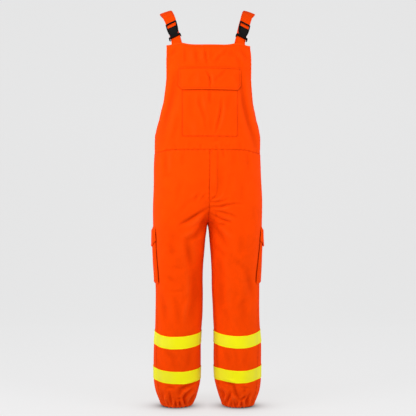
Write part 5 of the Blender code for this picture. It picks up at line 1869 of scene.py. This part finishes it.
def make_stage():
    """The floor, the room's light, three soft lights, and the camera at the photo's angle."""
    stage = settings().overalls_stage
    make_floor(CAD_BOX[0].z - 0.0006, tuple(stage.floor_colour), stage.glow)
    world = bpy.data.worlds.new("studio")
    world.use_nodes = True
    sky = world.node_tree.nodes["Background"]
    sky.inputs["Color"].default_value = (1.0, 1.0, 1.0, 1.0)
    sky.inputs["Strength"].default_value = stage.sky
    bpy.context.scene.world = world
    add_light("key", (-0.70, -1.70, 0.15), (0.0, 0.0, -0.45), 0.6, stage.key, 60)
    for name, side, share in (("left_panel", -1, 1.30), ("right_panel", 1, 1.0)):
        add_light(name, (side * 1.50, -0.90, -0.20), (0.0, 0.0, -0.55), 1.0,
                  stage.panels * share, 180)
    camera = bpy.data.cameras.new("camera")
    camera.lens = stage.lens
    camera.sensor_width = 36.0
    camera.clip_start = 0.05
    camera.clip_end = 60.0
    viewer = bpy.data.objects.new("camera", camera)
    bpy.context.scene.collection.objects.link(viewer)
    viewer.location = (CAMERA_ACROSS, -stage.distance, CAMERA_UP)
    viewer.rotation_euler = (math.radians(90), 0, 0)
    bpy.context.scene.camera = viewer
    bpy.context.scene.view_settings.view_transform = "Standard"


HEM_STANDS = 0.115          # from the middle to where each hem stands
PAINTED_SHADOW_RADII = (0.066, 0.045)  # of the painted shadow round each hem, across and front to back
PAINTED_SHADOW_CORE = 0.7             # share of those radii under which the floor gets none of the glow, the painted shadow's darkest part
PAINTED_SHADOW_FADE = 0.45             # and how soon the glow comes back outside it, as the painted shadow fades


def make_floor(floor, colour, glow):
    """A pale floor that sweeps up into a wall behind."""
    radius, sweep_start, half_width = 1.4, 1.9, 7.0
    wall = sweep_start + radius
    profile = [(-9.0, 0.0), (-1.5, 0.0), (0.0, 0.0), (1.2, 0.0)]
    profile += [(sweep_start + radius * math.sin(turn), radius - radius * math.cos(turn))
                for turn in np.linspace(0, math.pi / 2, 24)]
    profile += [(wall, 4.0), (wall, 7.0)]
    widths = np.linspace(-half_width, half_width, 15)
    points = [(x, y, floor + z) for y, z in profile for x in widths]
    count = len(widths)
    faces = [(r * count + c, r * count + c + 1, (r + 1) * count + c + 1, (r + 1) * count + c)
             for r in range(len(profile) - 1) for c in range(count - 1)]
    mesh = bpy.data.meshes.new("floor")
    mesh.from_pydata(points, [], faces)
    mesh.shade_smooth()
    mesh.materials.append(floor_material("pale_floor", colour, glow))
    sweep = bpy.data.objects.new("floor", mesh)
    bpy.context.scene.collection.objects.link(sweep)


def floor_material(name, colour, glow):
    """A pale, faintly clouded floor, lit through but for a painted shadow round each hem, where its
    glow fades out.
    """
    nodes = Nodes(name)
    place = nodes.place()
    cloudy = nodes.times(nodes.noise(place, 0.8), 0.2)
    where = nodes.add("ShaderNodeSeparateXYZ", {0: place}).outputs
    from_hem = nodes.maths("SUBTRACT", nodes.maths("ABSOLUTE", where["X"]), HEM_STANDS)
    shares = [nodes.maths("DIVIDE", distance, radius)
              for distance, radius in zip((from_hem, where["Y"]), PAINTED_SHADOW_RADII)]
    away = nodes.maths("SQRT", nodes.maths("ADD", *[nodes.times(s, s) for s in shares]))
    past = nodes.maths("MAXIMUM", nodes.maths("SUBTRACT", away, PAINTED_SHADOW_CORE), 0.0)
    # painted shadow: the floor's glow is taken away round each hem
    painted_shadow = nodes.maths("EXPONENT", nodes.maths("DIVIDE", past, -PAINTED_SHADOW_FADE))
    return nodes.dress({
        "Base Color": nodes.blend(cloudy, scaled(colour, 1.0), scaled(colour, 0.985)),
        "Roughness": 0.9, "Specular IOR Level": 0.1, "Emission Color": (1.0, 1.0, 1.0, 1.0),
        "Emission Strength": nodes.times(nodes.maths("SUBTRACT", 1.0, painted_shadow), glow)})


def add_light(name, place, target, size, power, spread):
    """A square soft light at a place, facing a target."""
    data = bpy.data.lights.new(name, "AREA")
    data.energy = power
    data.size = size
    data.spread = math.radians(spread)
    lamp = bpy.data.objects.new(name, data)
    lamp.location = place
    lamp.rotation_euler = (Vector(target) - Vector(place)).to_track_quat("-Z", "Y").to_euler()
    bpy.context.scene.collection.objects.link(lamp)


# ---------------------------------------------------------------- operators
class OVERALLS_OT_bib(bpy.types.Operator):
    """Make the bib with its pocket and flap"""

    bl_idname = "overalls.bib"
    bl_label = "Bib, pocket and flap"

    def execute(self, context):
        sewing = make_bib()
        make_pocket(sewing)
        make_flap(sewing)
        sewing.made(thread())
        return {"FINISHED"}


class OVERALLS_OT_back(bpy.types.Operator):
    """Make the back panel"""

    bl_idname = "overalls.back"
    bl_label = "Back panel"

    def execute(self, context):
        make_back()
        return {"FINISHED"}


class OVERALLS_OT_trousers(bpy.types.Operator):
    """Make the trouser panels and the fly piece"""

    bl_idname = "overalls.trousers"
    bl_label = "Trousers and fly"

    def execute(self, context):
        for word in SIDES:
            make_leg(word)
        make_fly()
        return {"FINISHED"}


class OVERALLS_OT_pockets(bpy.types.Operator):
    """Make the side pockets with their flaps"""

    bl_idname = "overalls.pockets"
    bl_label = "Side pockets"

    def execute(self, context):
        for word in SIDES:
            make_cargo(word)
        return {"FINISHED"}


class OVERALLS_OT_tapes(bpy.types.Operator):
    """Make the yellow bands round the legs"""

    bl_idname = "overalls.tapes"
    bl_label = "Yellow bands"

    def execute(self, context):
        for word in SIDES:
            make_tapes(word)
        return {"FINISHED"}


class OVERALLS_OT_straps(bpy.types.Operator):
    """Make the shoulder straps and their short ends"""

    bl_idname = "overalls.straps"
    bl_label = "Straps"

    def execute(self, context):
        for word in SIDES:
            make_strap(word)
        return {"FINISHED"}


class OVERALLS_OT_buckles(bpy.types.Operator):
    """Finish the buckles"""

    bl_idname = "overalls.buckles"
    bl_label = "Buckles"

    def execute(self, context):
        for word in SIDES:
            make_buckle(word)
        return {"FINISHED"}


class OVERALLS_OT_stage(bpy.types.Operator):
    """Make the floor, the light and the camera"""

    bl_idname = "overalls.stage"
    bl_label = "Floor, light and camera"

    def execute(self, context):
        make_stage()
        return {"FINISHED"}


OPERATORS = (OVERALLS_OT_bib, OVERALLS_OT_back, OVERALLS_OT_trousers, OVERALLS_OT_pockets,
             OVERALLS_OT_tapes, OVERALLS_OT_straps, OVERALLS_OT_buckles, OVERALLS_OT_stage)
GROUPS = {"overalls_cloth": OverallsCloth, "overalls_sewing": OverallsSewing,
          "overalls_tape": OverallsTape, "overalls_buckle": OverallsBuckle,
          "overalls_stage": OverallsStage}


class OVERALLS_PT_panel(bpy.types.Panel):
    """Lists the overalls' pieces and their settings"""

    bl_idname = "OVERALLS_PT_panel"
    bl_label = "Bib Overalls"
    bl_space_type = "VIEW_3D"
    bl_region_type = "UI"
    bl_category = "Overalls"

    def draw(self, context):
        for name, group in GROUPS.items():
            box = self.layout.box()
            box.label(text=group.__doc__)
            for setting in group.__annotations__:
                box.prop(getattr(context.scene, name), setting)
        for operator in OPERATORS:
            self.layout.operator(operator.bl_idname)


def register():
    """Adds the settings, the operators and the panel."""
    for kind in (*GROUPS.values(), *OPERATORS, OVERALLS_PT_panel):
        bpy.utils.register_class(kind)
    for name, group in GROUPS.items():
        setattr(bpy.types.Scene, name, PointerProperty(type=group))


def unregister():
    """Takes them away again."""
    for name in GROUPS:
        delattr(bpy.types.Scene, name)
    for kind in (OVERALLS_PT_panel, *OPERATORS[::-1], *GROUPS.values()):
        bpy.utils.unregister_class(kind)


def main():
    """Makes the whole garment and its stage."""
    register()
    bpy.ops.overalls.bib()
    bpy.ops.overalls.back()
    bpy.ops.overalls.trousers()
    bpy.ops.overalls.pockets()
    bpy.ops.overalls.tapes()
    bpy.ops.overalls.straps()
    bpy.ops.overalls.buckles()
    bpy.ops.overalls.stage()


if __name__ == "__main__":
    main()
